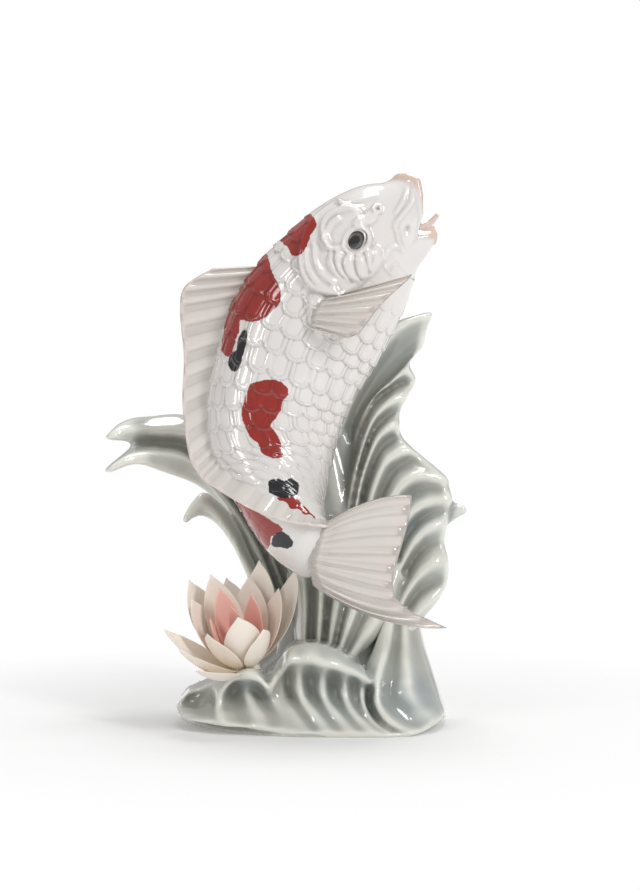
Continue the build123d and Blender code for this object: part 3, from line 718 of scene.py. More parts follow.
COAT = 0.9
COAT_ROUGHNESS = 0.03
GLAZE_ROUGHNESS, FIN_ROUGHNESS, WATER_ROUGHNESS = 0.16, 0.2, 0.18
BLACK_COAT_LOSS = 0.5
RED_COAT_LOSS = 0.25
RIPPLE_SCALE, RIPPLE_STRENGTH, RIPPLE_DEPTH = 70.0, 0.10, 0.4 * MM
# Noise that the painted edges wander and fray by: its reach in pixels of the picture, scale and detail
PAINT_WANDER = (1.7, 260.0, 3.0)
PAINT_FRAY = (0.6, 900.0, 2.0)
# The depths inside an outline, in pixels, where the paint starts, and how softly it does
RED_LEVEL = 0.0
BLACK_LEVEL = -0.9
PAINT_SOFTNESS = 0.7
LIP_LEVELS = (0.5, 0.9)
# Clouds of another tint: the noise's scale and detail, and the level and softness of their edges
BODY_CLOUDS = (14.0, 2.0, 0.5, 0.35)
CORAL_STREAKS = (160.0, 4.0, 0.5, 0.5)
FIN_CLOUDS = (30.0, 2.0, 0.5, 0.5)
BLUE_CLOUDS = (24.0, 3.0, 0.56, 0.22)
WATER_GRAIN = (0.3, 55.0, 4.0)
POOLED_GLAZE_AND_SHADE_GRAIN_SHARE = 0.8
STREAK_SHARE = 0.80
# Painted shade on the red: its creases darken to this share of the coral
CORAL_CREASE_SHADE_SHARE = 1 / 3
FIN_BLUSH_SHARE = 0.45
FIN_GRAIN = 0.22
# Finer noises: their scale and detail
FIN_NOISE = (120.0, 3.0)
BLUSH_NOISE = (200.0, 2.0)
FIN_BLUSH_LEVELS = (1.02, 0.30)
BLUSH_PALE_SHARE = 0.5
ROSE_TIP_SHARE = 0.25
WARM_TINT = (1.0, 0.975, 0.965)
FIN_TINT = (0.97, 0.945, 0.92)
FIN_SHADE_TINT = (0.91, 0.875, 0.84)
# The level and softness at which a hollow darkens, and how much it does. On the body and the fins this
# darkening is painted shade, in the creases between the scales and the grooves between the rays.
CREASE_SHADE_LEVELS = (0.6, 1.2)
BODY_CREASE_SHADE = 0.38
FIN_CREASE_SHADE = 0.6
# On the water the folds darken where the glaze pools, with painted shade laid in there as well
POOLED_GLAZE_AND_SHADE_LEVELS = (0.25, 1.5)
POOLED_GLAZE_AND_SHADE_SHARE = 0.7
# On the water the crests pale where the glaze runs thin, with a painted highlight laid on there as well
THIN_GLAZE_AND_HIGHLIGHT_LEVELS = (0.40, 1.1)
THIN_GLAZE_AND_HIGHLIGHT_SHARE = 0.9
THIN_GLAZE_AND_HIGHLIGHT_BRIGHTNESS = 1.65


def tinted(rgb, tint):
    return tuple(a * b for a, b in zip(rgb, tint))


def scaled(rgb, share):
    return tuple(min(1.0, value * share) for value in rgb)


def blended(one, other, share):
    return tuple(a * (1 - share) + b * share for a, b in zip(one, other))


def koi_glaze():
    """White glaze with painted patches, whose edges wander by a pixel or two of the picture."""
    shade = Shade("koi_glaze")
    paint = paints()
    wander = shade.swing(*PAINT_WANDER)
    fray = shade.swing(*PAINT_FRAY)
    red = (shade.stored("red_paint") + wander + fray).above(RED_LEVEL, PAINT_SOFTNESS)
    black = (shade.stored("black_paint") + wander + fray).above(BLACK_LEVEL, PAINT_SOFTNESS)
    base = shade.mix(shade.clouds(*BODY_CLOUDS), colour(paint.white), colour(tinted(paint.white, WARM_TINT)))
    lips = shade.stored("blush_paint").above(*LIP_LEVELS)
    base = shade.mix(lips, base, colour(paint.blush))
    deep = colour(scaled(paint.coral, STREAK_SHARE))
    coral = shade.mix(shade.clouds(*CORAL_STREAKS), colour(paint.coral), deep)
    base = shade.mix(red, base, coral)
    base = shade.mix(black, base, colour(paint.ink))
    # Painted shade: the creases between the scales darken, to grey on the white and to deeper coral on the
    # red
    crease_shade = shade.stored("hollow").above(*CREASE_SHADE_LEVELS)
    dark = shade.mix(red, colour(paint.crease_shade), colour(scaled(paint.coral, CORAL_CREASE_SHADE_SHARE)))
    shade.set("Base Color", shade.mix(crease_shade * BODY_CREASE_SHADE, base, dark))
    finish_glaze(shade, coat=COAT - (black * BLACK_COAT_LOSS + red * RED_COAT_LOSS))
    return shade.material


def finish_glaze(shade, roughness=GLAZE_ROUGHNESS, coat=COAT):
    """The clear coat that lies over every glazed piece, with a faint ripple."""
    shade.set("Roughness", roughness)
    shade.set("Coat Weight", coat)
    shade.set("Coat Roughness", COAT_ROUGHNESS)
    shade.bump(shade.noise(RIPPLE_SCALE), RIPPLE_STRENGTH, RIPPLE_DEPTH)


def fin_glaze():
    """White glaze with painted shade in the grooves between the rays, blushing towards the fin's edge."""
    shade = Shade("fin_glaze")
    paint = paints()
    _, v = shade.uv()
    reach = 1 - (v * 2 - 1).math("ABSOLUTE")
    edge = (reach + shade.noise(*FIN_NOISE) * FIN_GRAIN).above(*FIN_BLUSH_LEVELS)
    warm = blended(paint.white, paint.blush, FIN_BLUSH_SHARE)
    cream, shadow = (colour(tinted(paint.white, tint)) for tint in (FIN_TINT, FIN_SHADE_TINT))
    base = shade.mix(shade.clouds(*FIN_CLOUDS), cream, shadow)
    base = shade.mix(edge, base, colour(warm))
    # Painted shade in the grooves between the rays
    groove_shade = shade.stored("hollow").above(*CREASE_SHADE_LEVELS)
    shade.set("Base Color", shade.mix(groove_shade * FIN_CREASE_SHADE, base, colour(paint.crease_shade)))
    finish_glaze(shade, FIN_ROUGHNESS)
    return shade.material


def blush_glaze():
    shade = Shade("blush_glaze")
    paint = paints()
    pale = blended(paint.blush, paint.white, BLUSH_PALE_SHARE)
    shade.set("Base Color", shade.mix(shade.noise(*BLUSH_NOISE), colour(paint.blush), colour(pale)))
    finish_glaze(shade)
    return shade.material


def wave_glaze():
    """Grey-green glaze, darker in the folds, where it pools and painted shade is laid in, and paler on the
    crests, where it runs thin and a painted highlight is laid on.
    """
    shade = Shade("wave_glaze")
    paint = paints()
    hollow = shade.stored("hollow")
    grain = shade.swing(*WATER_GRAIN)
    # Pooled glaze and painted shade in the folds
    pooled = (hollow + grain * POOLED_GLAZE_AND_SHADE_GRAIN_SHARE).above(*POOLED_GLAZE_AND_SHADE_LEVELS)
    # Thin glaze and a painted highlight on the crests
    crest = (hollow * -1 + grain).above(*THIN_GLAZE_AND_HIGHLIGHT_LEVELS)
    base = shade.mix(shade.clouds(*BLUE_CLOUDS), colour(paint.water), colour(paint.water_blue))
    base = shade.mix(pooled * POOLED_GLAZE_AND_SHADE_SHARE, base, colour(paint.water_pool_and_shade))
    # The crests' pale colour: a painted highlight as well as thin glaze
    pale = colour(scaled(paint.water, THIN_GLAZE_AND_HIGHLIGHT_BRIGHTNESS))
    shade.set("Base Color", shade.mix(crest * THIN_GLAZE_AND_HIGHLIGHT_SHARE, base, pale))
    finish_glaze(shade, WATER_ROUGHNESS)
    return shade.material


VEIN_SHARE = 0.12
VEIN_NOISE = (420.0, 3.0)
VEIN_RELIEF = (0.12, 0.2 * MM)
# The place along a petal where its root's colour fades into its tip's, and how softly
PETAL_FADE = (0.28, 0.55)
BISQUE = {
    "Roughness": 0.55, "Subsurface Weight": 0.12, "Subsurface Radius": (0.9, 0.6, 0.4),
    "Subsurface Scale": 1.5 * MM,
}


def petal_bisque(name, tip, root):
    """Unglazed porcelain that fades from the petal's root to its tip."""
    shade = Shade(name)
    u, _ = shade.uv()
    veins = shade.noise(*VEIN_NOISE)
    fade = (u + veins * VEIN_SHARE).above(*PETAL_FADE)
    shade.set("Base Color", shade.mix(fade, colour(root), colour(tip)))
    for socket, value in BISQUE.items():
        shade.set(socket, value)
    shade.bump(veins, *VEIN_RELIEF)
    return shade.material


# The edges between pupil, iris, rim and white, in shares of the eye's radius, and their softness
EYE_EDGES = ((0.50, 0.08), (0.74, 0.05), (0.86, 0.05))
IRIS_GLOW = (0.10, 0.08, 0.06)
EYE_WHITE_SHARE = 0.85
EYE_ROUGHNESS = 0.08


def eye_glaze():
    """A black pupil in a dark iris with a black rim, by the reach from the eye's middle."""
    shade = Shade("eye_glaze")
    paint = paints()
    reach = shade.stored("eye_reach")
    iris = tuple(share + glow for share, glow in zip(paint.ink, IRIS_GLOW))
    base = colour(paint.ink)
    for edge, rgb in zip(EYE_EDGES, (iris, paint.ink, scaled(paint.white, EYE_WHITE_SHARE))):
        base = shade.mix(reach.above(*edge), base, colour(rgb))
    shade.set("Base Color", base)
    finish_glaze(shade, EYE_ROUGHNESS)
    return shade.material


LIP_SOFTNESS = 0.12
# Hollows: how far round each point its skin is softened, and the depth that counts as one
BODY_SPREADS, BODY_HOLLOW = 5, 0.22 * MM
FIN_SPREADS, FIN_HOLLOW = 8, 0.2 * MM
WATER_SPREADS, WATER_HOLLOW = 14, 0.5 * MM


class FIGURINE_OT_body(bpy.types.Operator):
    """Model the carp's body with its lips, gill covers, scales and painted patches"""

    bl_idname = "figurine.body"
    bl_label = "Carp body"

    def execute(self, context):
        skin = BodySkin()
        body = grid_piece("koi_body_glazed", *BODY_GRID, skin.place, koi_glaze())
        u, v = point_places(body).T
        for name, depth in zip(("red_paint", "black_paint"), skin.paint(mesh_points(body), u, v)):
            store(body, name, depth)
        station, _ = skin.stations(u)
        reach = np.interp(np.cos(2 * pi * v), *np.transpose(LIP_BLUSH))
        store(body, "blush_paint", smoothstep(reach + LIP_SOFTNESS, reach - LIP_SOFTNESS, station))
        note_hollows(body, BODY_SPREADS, BODY_HOLLOW)
        settle(body, "koi_glaze", "koi_body")
        return {"FINISHED"}


EYE_STATION = 2.6
EYE_BACK = 8.0 * MM
EYE_RADII = (7.6 * MM, 5.4 * MM)
EYE_BULGE = 2.0 * MM
EYE_TURN = radians(6)
EYE_SET_IN = 0.7 * MM
EYE_GRID = (16, 40)


def on_skin(station, back, hand):
    """A point of the smooth skin at a height over the spine, with the directions there."""
    frames = FishFrames(np.array((station,)))
    cosine = np.clip(back / frames.half_depth, -1, 1)
    points, out = frames.ring(hand * np.arccos(cosine), 0.0)
    return points[0], out[0], frames


class FIGURINE_OT_eyes(bpy.types.Operator):
    """Model the carp's painted eyes as low domes in their sockets"""

    bl_idname = "figurine.eyes"
    bl_label = "Eyes"

    def execute(self, context):
        material = eye_glaze()
        for hand, side in ((1, "right"), (-1, "left")):
            centre, out, frames = on_skin(EYE_STATION, EYE_BACK, hand)
            along = unit(frames.tail[0] - out * dot(frames.tail[0], out))
            up = np.cross(out, along)
            long_way = along * cos(EYE_TURN * hand) + up * sin(EYE_TURN * hand)
            short_way = np.cross(out, long_way)

            def dome(u, v):
                reach, angle = u * pi / 2, 2 * pi * v
                across = column(np.sin(reach) * np.cos(angle)) * long_way * EYE_RADII[0]
                rise = column(np.sin(reach) * np.sin(angle)) * short_way * EYE_RADII[1]
                return centre - out * EYE_SET_IN + across + rise + out * column(np.cos(reach) * EYE_BULGE)

            eye = grid_piece("eye_" + side, *EYE_GRID, dome, material)
            points = mesh_points(eye) - centre
            reach = np.hypot(points @ long_way / EYE_RADII[0], points @ short_way / EYE_RADII[1])
            store(eye, "eye_reach", reach)
            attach(eye, "root")
        return {"FINISHED"}


BARBEL_LENGTH = 17.0 * MM
BARBEL_SHARES = ((0.67, -0.31, 0.53), (0.40, -0.52, 0.62), (0.10, -0.64, 0.70), (-0.25, -0.60, 0.74))
BARBEL_RADII = (1.7 * MM, 1.7 * MM, 1.35 * MM, 0.8 * MM)
BARBEL_END_SHARE = 0.06
BARBEL_GRID = (40, 20)


class FIGURINE_OT_barbels(bpy.types.Operator):
    """Model the two barbels at the corners of the mouth"""

    bl_idname = "figurine.barbels"
    bl_label = "Barbels"

    def execute(self, context):
        material = blush_glaze()
        for hand, side in ((1, "right"), (-1, "left")):
            frames = FishFrames(np.zeros(1))
            tail, back, reach = np.transpose(BARBEL_SHARES) * BARBEL_LENGTH
            points = frames.at(tail, back, reach * hand)
            place = tube_skin(points, BARBEL_RADII, BARBEL_END_SHARE)
            barbel = grid_piece("barbel_glazed_" + side, *BARBEL_GRID, place, material)
            settle(barbel, "blush_glaze", "barbel_" + side)
        return {"FINISHED"}


def tube_skin(points, radii, end_share, flat_share=1.0):
    """A round taper along a smooth curve with rounded ends, flattened towards the viewer by a share."""
    last = len(points) - 1

    def place(u, v):
        row = np.clip((u - end_share) / (1 - 2 * end_share), 0, 1) * last
        along = direction_at(points, row)
        side = unit(np.cross(along, VIEWER))
        front = np.cross(side, along)
        cap = np.maximum(np.abs(u - 0.5) - (0.5 - end_share), 0) / end_share
        radius = curve_at(radii, row)
        ring = radius * np.sqrt(np.maximum(1 - cap**2, 0))
        angle = 2 * pi * v
        round_it = side * column(np.cos(angle) * ring) + front * column(np.sin(angle) * ring * flat_share)
        return curve_at(points, row) + along * column(np.sign(u - 0.5) * cap * radius) + round_it

    return place


# Rays shorter than this stand out less
RIBBED_LENGTH = 26.0 * MM
RAY_SHARPNESS = 0.7
FIN_EDGE_SHARE = 0.06
FIN_END_SHARE = 0.02
FIN_ROOT_SHARE = 0.1
RIBBED_SHARE = 0.25


def fin_skin(roots, tips, acrosses, bends, rays, bow, root_half, tip_half):
    """A fin's skin: root tables to tip tables, with a ridge at each ray on both faces."""

    def place(u, v):
        steps = len(roots) - 1
        root, tip = curve_at(roots, u * steps), curve_at(tips, u * steps)
        across = unit(curve_at(acrosses, u * steps))
        reach = 1 - np.abs(2 * v - 1)
        face = np.where(v < 0.5, 1.0, -1.0)
        sweep = tip - root
        arch = 4 * reach * (1 - reach)
        middle = root + sweep * column(reach) + (across * bow + curve_at(bends, u * steps)) * column(arch)
        wave = np.cos(2 * pi * rays * u)
        ridge = np.abs(wave) ** RAY_SHARPNESS * np.sign(wave)
        ribbed = np.clip(np.linalg.norm(sweep, axis=-1) / RIBBED_LENGTH, 0, 1) ** 2
        relief = sizes().fin_relief * ridge * smoothstep(0.0, RIBBED_SHARE, reach) * ribbed
        rounding = np.sqrt(np.clip((1 - reach) / FIN_EDGE_SHARE, 0, 1))
        rounding = rounding * np.sqrt(np.clip(np.minimum(u, 1 - u) / FIN_END_SHARE, 0, 1))
        half = (tip_half + (root_half - tip_half) * (1 - reach) ** 2) * rounding
        half = half * np.sqrt(np.clip(reach / FIN_ROOT_SHARE, 0, 1))
        return middle + across * column(face * half + relief * rounding)

    return place


# The dorsal fin by stations along the spine: its height, its lean towards the fish's left side and how far
# its foot strays round the body to that side
DORSAL_PLACES = (5.0, 5.5, 6.0, 7.0, 8.0, 9.0, 9.5, 10.0, 11.0, 12.0, 13.0, 13.9)
DORSAL_HEIGHT_SHARES = (0.70, 0.95, 0.84, 0.58, 0.46, 0.42, 0.36, 0.32, 0.28, 0.25, 0.19, 0.10)
DORSAL_LEAN_ANGLES = (0, 0, 0, 0, 0, 0, 12, 30, 52, 58, 56, 50)
DORSAL_SHIFT_ANGLES = (0, 0, 0, 0, 0, 0, 2, 8, 17, 21, 20, 14)
DORSAL_HEIGHT = 36.0 * MM
DORSAL_SWEEP = radians(38)
FIN_SET_IN = 5.0 * MM


def dorsal_tables():
    frames = FishFrames(np.array(DORSAL_PLACES))
    shift = np.radians(DORSAL_SHIFT_ANGLES)
    lean = (np.radians(DORSAL_LEAN_ANGLES) + shift)[:, None]
    up = frames.back * np.cos(lean) - frames.side * np.sin(lean)
    across = frames.side * np.cos(lean) + frames.back * np.sin(lean)
    ray = up * cos(DORSAL_SWEEP) + frames.tail * sin(DORSAL_SWEEP)
    back, side = frames.half_depth * np.cos(shift), -frames.half_breadth * np.sin(shift)
    roots = frames.at(np.zeros(len(lean)), back, side) - ray * FIN_SET_IN
    tips = roots + ray * (column(DORSAL_HEIGHT_SHARES) * DORSAL_HEIGHT + FIN_SET_IN)
    return roots, tips, across, np.zeros_like(roots)


# The fins' grids, their count of rays, their bow, and half their thickness at the root and at the edge
DORSAL_BUILD = ((420, 60), 20, 0.0, 2.4 * MM, 0.9 * MM)
TAIL_BUILD = ((260, 90), 9, 3.0 * MM, 6.0 * MM, 0.9 * MM)
PECTORAL_BUILD = ((180, 70), 7, 2.9 * MM, 6.5 * MM, 0.8 * MM)


class FIGURINE_OT_fins(bpy.types.Operator):
    """Model the dorsal, tail and pectoral fins with their rays"""

    bl_idname = "figurine.fins"
    bl_label = "Fins"

    def execute(self, context):
        material = fin_glaze()
        fins = (
            ("dorsal_fin", dorsal_tables(), DORSAL_BUILD),
            ("tail_fin", tail_tables(), TAIL_BUILD),
            ("pectoral_fin_right", pectoral_tables(1), PECTORAL_BUILD),
            ("pectoral_fin_left", pectoral_tables(-1), PECTORAL_BUILD),
        )
        for name, tables, (grid, *build) in fins:
            fin = grid_piece(name + "_glazed", *grid, fin_skin(*tables, *build), material)
            note_hollows(fin, FIN_SPREADS, FIN_HOLLOW)
            settle(fin, "fin_glaze", name)
        return {"FINISHED"}


TAIL_LENGTH = 75.0 * MM
# The tail fin's rays from its upper to its lower lobe: the tips' column, row and depth, and the bend's rise
TAIL_TIPS = (
    (412, 495, -44, 6), (411, 508, -46, 5), (407, 527, -49, 3), (402, 545, -51, 1), (397, 562, -53, 0),
    (393, 578, -55, 0), (394, 592, -55, -1), (401, 603, -52, -3), (414, 613, -46, -5),
    (430, 620, -41, -6), (447, 628, -36, -6.5),
)
TAIL_ROOT_SHARES = ((-0.08, 0.02, 0.16), (-0.12, 0.0, -0.04), (-0.08, 0.0, -0.23))


def tail_tables():
    base = TRUNK_TOP + np.array(SPINE_SHARES[-1]) * sizes().fish_length
    tips = np.array([placed(x, y, depth * MM) for x, y, depth, _ in TAIL_TIPS])
    places = np.linspace(0, len(TAIL_ROOT_SHARES) - 1, len(tips))
    roots = base + curve_at(TAIL_ROOT_SHARES, places) * TAIL_LENGTH
    ray = unit(tips - roots)
    across = unit(VIEWER - ray * column(ray @ VIEWER))
    bends = np.array([(0, 0, row[3] * MM) for row in TAIL_TIPS])
    return roots, tips, across, bends


PECTORAL_STATION = 5.0
# The right pectoral fin's rays from its upper to its lower edge: column, row and depth of roots and tips
PECTORAL_ROOTS = ((326, 297, -29), (315, 303, -30), (312, 314, -30), (314, 325, -30), (323, 332, -30))
PECTORAL_TIPS = (
    (412, 274, -34), (408, 280, -37), (398, 289, -40), (387, 299, -42), (377, 310, -44), (369, 321, -45),
    (361, 331, -45), (351, 337, -44), (340, 337, -42), (331, 332, -38),
)


def pectoral_tables(hand):
    frames = FishFrames(np.full(len(PECTORAL_TIPS), PECTORAL_STATION))
    places = np.linspace(0, len(PECTORAL_ROOTS) - 1, len(PECTORAL_TIPS))
    ends = []
    for table in (curve_at(PECTORAL_ROOTS, places), PECTORAL_TIPS):
        points = np.array([placed(x, y, depth * MM) for x, y, depth in table]) - frames.centre
        across = dot(points, frames.side) * hand
        ends.append(frames.at(dot(points, frames.tail), dot(points, frames.back), across))
    outward = frames.side * hand
    ray = unit(ends[1] - ends[0])
    return ends[0], ends[1], unit(outward - ray * column(dot(ray, outward))), np.zeros_like(ray)


# Nets of points through the water's sheets. Each row runs from the foot to the free edge, with three numbers
# for each point: the picture's column and row, and in mm how near the point lies to the viewer. Ridges lie
# nearer than the creases between them.
RIGHT_WAVE_NET = (
    (325, 640, -30, 322, 560, -34, 325, 480, -34, 340, 400, -32, 380, 333, -29, 422, 314, -26),
    (329, 641, -22, 326, 560, -24, 331, 480, -24, 348, 404, -22, 391, 333, -20, 433, 313, -25),
    (333, 642, -26, 330, 561, -28, 336, 482, -29, 356, 408, -28, 397, 348, -27, 427, 330, -26),
    (336, 643, -26, 333, 562, -28, 340, 484, -28, 361, 413, -27, 399, 368, -26, 423, 347, -25),
    (339, 643, -21, 337, 563, -22, 344, 486, -22, 367, 409, -20, 391, 382, -18, 410, 364, -17),
    (342, 644, -22, 339, 563, -24, 345, 487, -24, 368, 413, -26, 394, 387, -26, 416, 380, -24),
    (345, 645, -12, 345, 565, -10, 351, 492, -8, 369, 427, -8, 389, 402, -11, 409, 396, -16),
    (349, 645, -14, 350, 567, -16, 354, 496, -17, 371, 437, -18, 387, 417, -18, 401, 411, -18),
    (352, 646, -6, 354, 568, -3, 357, 499, -3, 373, 446, -4, 387, 428, -5, 400, 424, -9),
    (355, 646, -9, 358, 569, -11, 362, 503, -12, 377, 455, -13, 391, 440, -13, 402, 437, -12),
    (358, 647, -3, 363, 571, -1, 368, 509, 0, 382, 467, -1, 397, 453, -4, 413, 449, -7),
    (361, 648, -8, 368, 573, -8, 375, 516, -9, 389, 478, -9, 405, 464, -9, 424, 458, -9),
    (365, 648, 1, 374, 575, 2, 383, 522, 3, 398, 489, 2, 418, 475, -1, 447, 478, -5),
    (368, 649, -6, 380, 577, -6, 390, 529, -6, 406, 500, -6, 425, 489, -5, 450, 489, -4),
    (371, 650, 2, 385, 579, 4, 397, 537, 4, 412, 512, 3, 430, 502, 1, 453, 500, -2),
    (375, 650, -4, 390, 582, -4, 402, 545, -4, 416, 524, -4, 432, 514, -3, 450, 511, -3),
    (379, 651, 5, 394, 587, 7, 406, 555, 7, 420, 535, 6, 434, 526, 4, 448, 523, 0),
    (383, 652, -2, 397, 593, -1, 410, 566, -1, 422, 551, 0, 434, 544, 1, 445, 543, 1),
    (387, 652, 9, 401, 603, 11, 414, 580, 11, 426, 568, 10, 438, 562, 8, 449, 562, 4),
    (392, 653, 4, 405, 613, 4, 416, 595, 4, 427, 586, 4, 438, 582, 4, 448, 582, 4),
    (398, 654, 11, 409, 625, 13, 418, 611, 12, 427, 603, 10, 434, 598, 8, 441, 597, 5),
    (404, 655, 6, 413, 637, 6, 420, 625, 6, 426, 617, 6, 430, 612, 6, 433, 608, 5),
)
UPPER_SPLASH_NET = (
    (304, 636, -24, 286, 583, -32, 264, 530, -38, 235, 475, -40,
     196, 420, -38, 146, 417, -27, 121, 423, -15, 105, 437, -6),
    (302, 641, -16, 284, 590, -23, 262, 537, -27, 231, 484, -29,
     194, 436, -27, 150, 430, -19, 124, 431, -9, 107, 441, -4),
    (299, 645, -19, 281, 596, -27, 260, 543, -32, 229, 494, -33,
     191, 452, -31, 160, 444, -25, 142, 444, -18, 131, 445, -13),
    (297, 648, -7, 279, 601, -11, 257, 550, -15, 226, 502, -17,
     192, 464, -15, 158, 454, -7, 128, 456, 2, 104, 471, 8),
    (294, 651, -11, 275, 607, -17, 253, 558, -21, 224, 513, -22,
     200, 488, -18, 163, 473, -8, 135, 465, 1, 107, 475, 8),
)
LOWER_SPLASH_NET = (
    (296, 645, -5, 276, 605, -9, 254, 562, -11, 235, 522, -10,
     217, 501, -4, 203, 493, 3, 191, 504, 9, 182, 520, 13),
    (295, 647, 3, 273, 612, -1, 250, 573, -3, 231, 536, -1,
     214, 513, 4, 201, 506, 8, 191, 511, 12, 183, 523, 14),
    (294, 648, -2, 270, 618, -6, 250, 583, -8, 234, 549, -6,
     218, 526, -1, 204, 517, 5, 194, 518, 10, 185, 525, 14),
)
STEM_NET = (
    (296, 650, 14, 292, 600, 8, 284, 560, 2, 272, 520, -6),
    (303, 652, 27, 303, 600, 23, 298, 560, 14, 290, 520, 4),
    (310, 652, 19, 312, 600, 14, 310, 560, 7, 304, 520, -2),
    (318, 653, 29, 321, 600, 24, 322, 560, 15, 318, 520, 4),
    (323, 653, 20, 328, 602, 14, 332, 560, 7, 330, 520, -2),
    (328, 654, 29, 336, 604, 23, 343, 562, 14, 345, 520, 4),
    (333, 655, 21, 344, 608, 15, 353, 566, 7, 358, 520, -2),
    (338, 656, 29, 352, 614, 23, 365, 575, 14, 373, 530, 4),
    (343, 657, 22, 360, 620, 16, 375, 585, 8, 385, 545, 0),
    (350, 658, 28, 370, 628, 22, 387, 597, 14, 398, 562, 6),
    (358, 660, 20, 380, 636, 16, 398, 610, 10, 408, 585, 6),
)
WAVE_THICKNESS = 8.0 * MM
SPLASH_THICKNESS = 7.0 * MM
# A tongue beside the wave: the picture's column and row, the depth along Y and the half width in mm
WAVE_TONGUE = (
    (400, 600, 16, 8), (408, 560, 16, 9), (420, 535, 15, 9), (438, 517, 13, 7.5), (453, 511, 10, 5),
    (462, 510, 8, 3),
)
TONGUE_END_SHARE = 0.08
TONGUE_DEPTH_SHARE = 0.85
# The mound's front: rows from its left to its right, each from behind the crest down to the foot
MOUND_NET = (
    (179, 702, 20, 177, 705, 28, 175, 708, 32, 175, 710, 34, 175, 712, 35, 176, 714, 37, 178, 717, 40),
    (191, 690, 14, 188, 693, 20, 186, 698, 20, 186, 704, 24, 187, 710, 34, 189, 716, 44, 193, 723, 51),
    (203, 684, 12, 200, 688, 19, 198, 694, 18, 198, 702, 22, 200, 710, 36, 203, 718, 50, 208, 726, 57),
    (215, 679, 16, 212, 683, 24, 210, 690, 24, 209, 699, 28, 211, 708, 42, 214, 717, 53, 220, 728, 60),
    (226, 675, 26, 222, 682, 38, 219, 691, 46, 218, 700, 48, 218, 709, 51, 221, 718, 57, 228, 729, 62),
    (240, 668, 34, 235, 673, 46, 233, 680, 50, 233, 688, 40, 235, 699, 42, 239, 713, 53, 246, 731, 64),
    (250, 666, 36, 247, 669, 50, 246, 677, 56, 246, 686, 47, 249, 699, 50, 256, 714, 58, 262, 734, 66),
    (260, 668, 36, 258, 671, 50, 259, 680, 57, 259, 690, 44, 263, 702, 47, 271, 717, 58, 278, 736, 67),
    (269, 674, 36, 269, 680, 48, 270, 688, 56, 271, 696, 50, 276, 705, 53, 285, 718, 60, 294, 738, 68),
    (281, 657, 34, 280, 664, 42, 280, 673, 46, 280, 683, 46, 284, 699, 49, 295, 715, 59, 310, 739, 69),
    (290, 646, 34, 289, 650, 46, 288, 662, 55, 288, 674, 42, 290, 694, 42, 302, 713, 56, 322, 740, 70),
    (300, 642, 34, 300, 645, 48, 299, 660, 58, 299, 674, 49, 301, 695, 51, 313, 714, 60, 334, 741, 70),
    (312, 641, 34, 312, 644, 50, 311, 661, 61, 311, 676, 43, 313, 696, 44, 325, 714, 58, 346, 741, 70),
    (323, 642, 34, 324, 646, 50, 324, 664, 62, 323, 677, 50, 324, 697, 52, 336, 715, 61, 358, 741, 70),
    (333, 645, 34, 335, 650, 50, 336, 667, 61, 334, 679, 44, 335, 697, 45, 347, 716, 59, 370, 741, 70),
    (342, 649, 34, 345, 655, 49, 346, 670, 59, 345, 681, 50, 346, 699, 52, 357, 717, 61, 382, 741, 70),
    (351, 655, 33, 354, 661, 46, 356, 674, 56, 355, 684, 44, 356, 701, 46, 366, 719, 59, 392, 741, 69),
    (359, 660, 32, 363, 667, 44, 365, 679, 53, 363, 687, 47, 364, 704, 51, 374, 722, 60, 402, 740, 68),
    (367, 664, 31, 370, 671, 42, 372, 682, 49, 370, 691, 40, 371, 708, 41, 383, 725, 57, 412, 739, 67),
    (392, 600, 8, 388, 640, 27, 380, 673, 46, 377, 689, 52, 378, 706, 56, 393, 724, 62, 424, 736, 63),
    (399, 598, 2, 396, 642, 19, 392, 674, 34, 389, 690, 40, 394, 706, 46, 409, 721, 55, 433, 731, 57),
    (405, 600, 4, 406, 642, 20, 409, 674, 36, 411, 690, 42, 418, 704, 46, 429, 715, 49, 440, 725, 49),
    (412, 604, -2, 416, 642, 11, 422, 672, 22, 427, 688, 28, 434, 701, 33, 440, 710, 36, 445, 718, 38),
    (418, 610, -6, 425, 644, 4, 434, 674, 13, 439, 690, 19, 443, 702, 23, 446, 710, 25, 447, 716, 27),
)
MOUND_THICKNESS = 24.0 * MM
# Cores behind the sheets: level rings with their height, centre and half widths in mm
MOUND_RINGS = (
    (0, 0, 2, 73, 66), (3, 0, 3, 74, 66), (8, 0, 9, 71, 58), (14, 1, 15, 66, 50), (20, 5, 18, 58, 44),
    (30, 14, 18, 48, 38), (40, 18, 18, 40, 32), (46, 18, 17, 34, 26),
)
TRUNK_RINGS = (
    (30, 16, 6, 38, 30), (61, 14, 10, 30, 22), (88, 12, 18, 26, 18), (120, 6, 24, 27, 14),
    (148, 0, 30, 28, 12), (169, -4, 34, 22, 10), (178, -6, 36, 12, 6),
)
REAR_RINGS = (
    (40, 4, 30, 20, 14), (82, -1, 42, 22, 14), (134, -7, 54, 22, 12), (174, -9, 62, 15, 8),
    (189, -7, 70, 5, 3),
)
WATER_SOFTENINGS = 4
# Water below this height is pressed flat on the ground
GROUND_LEVEL = 0.8 * MM

# A sheet rounds off towards its free edge and its two ends, and closes along its foot
SHEET_EDGE_SHARE = 0.05
SHEET_END_SHARE = 0.02
SHEET_FOOT_SHARE = 0.001
# The plain back of a sheet lies behind the rearmost of so many rows
BACK_ROWS = 5


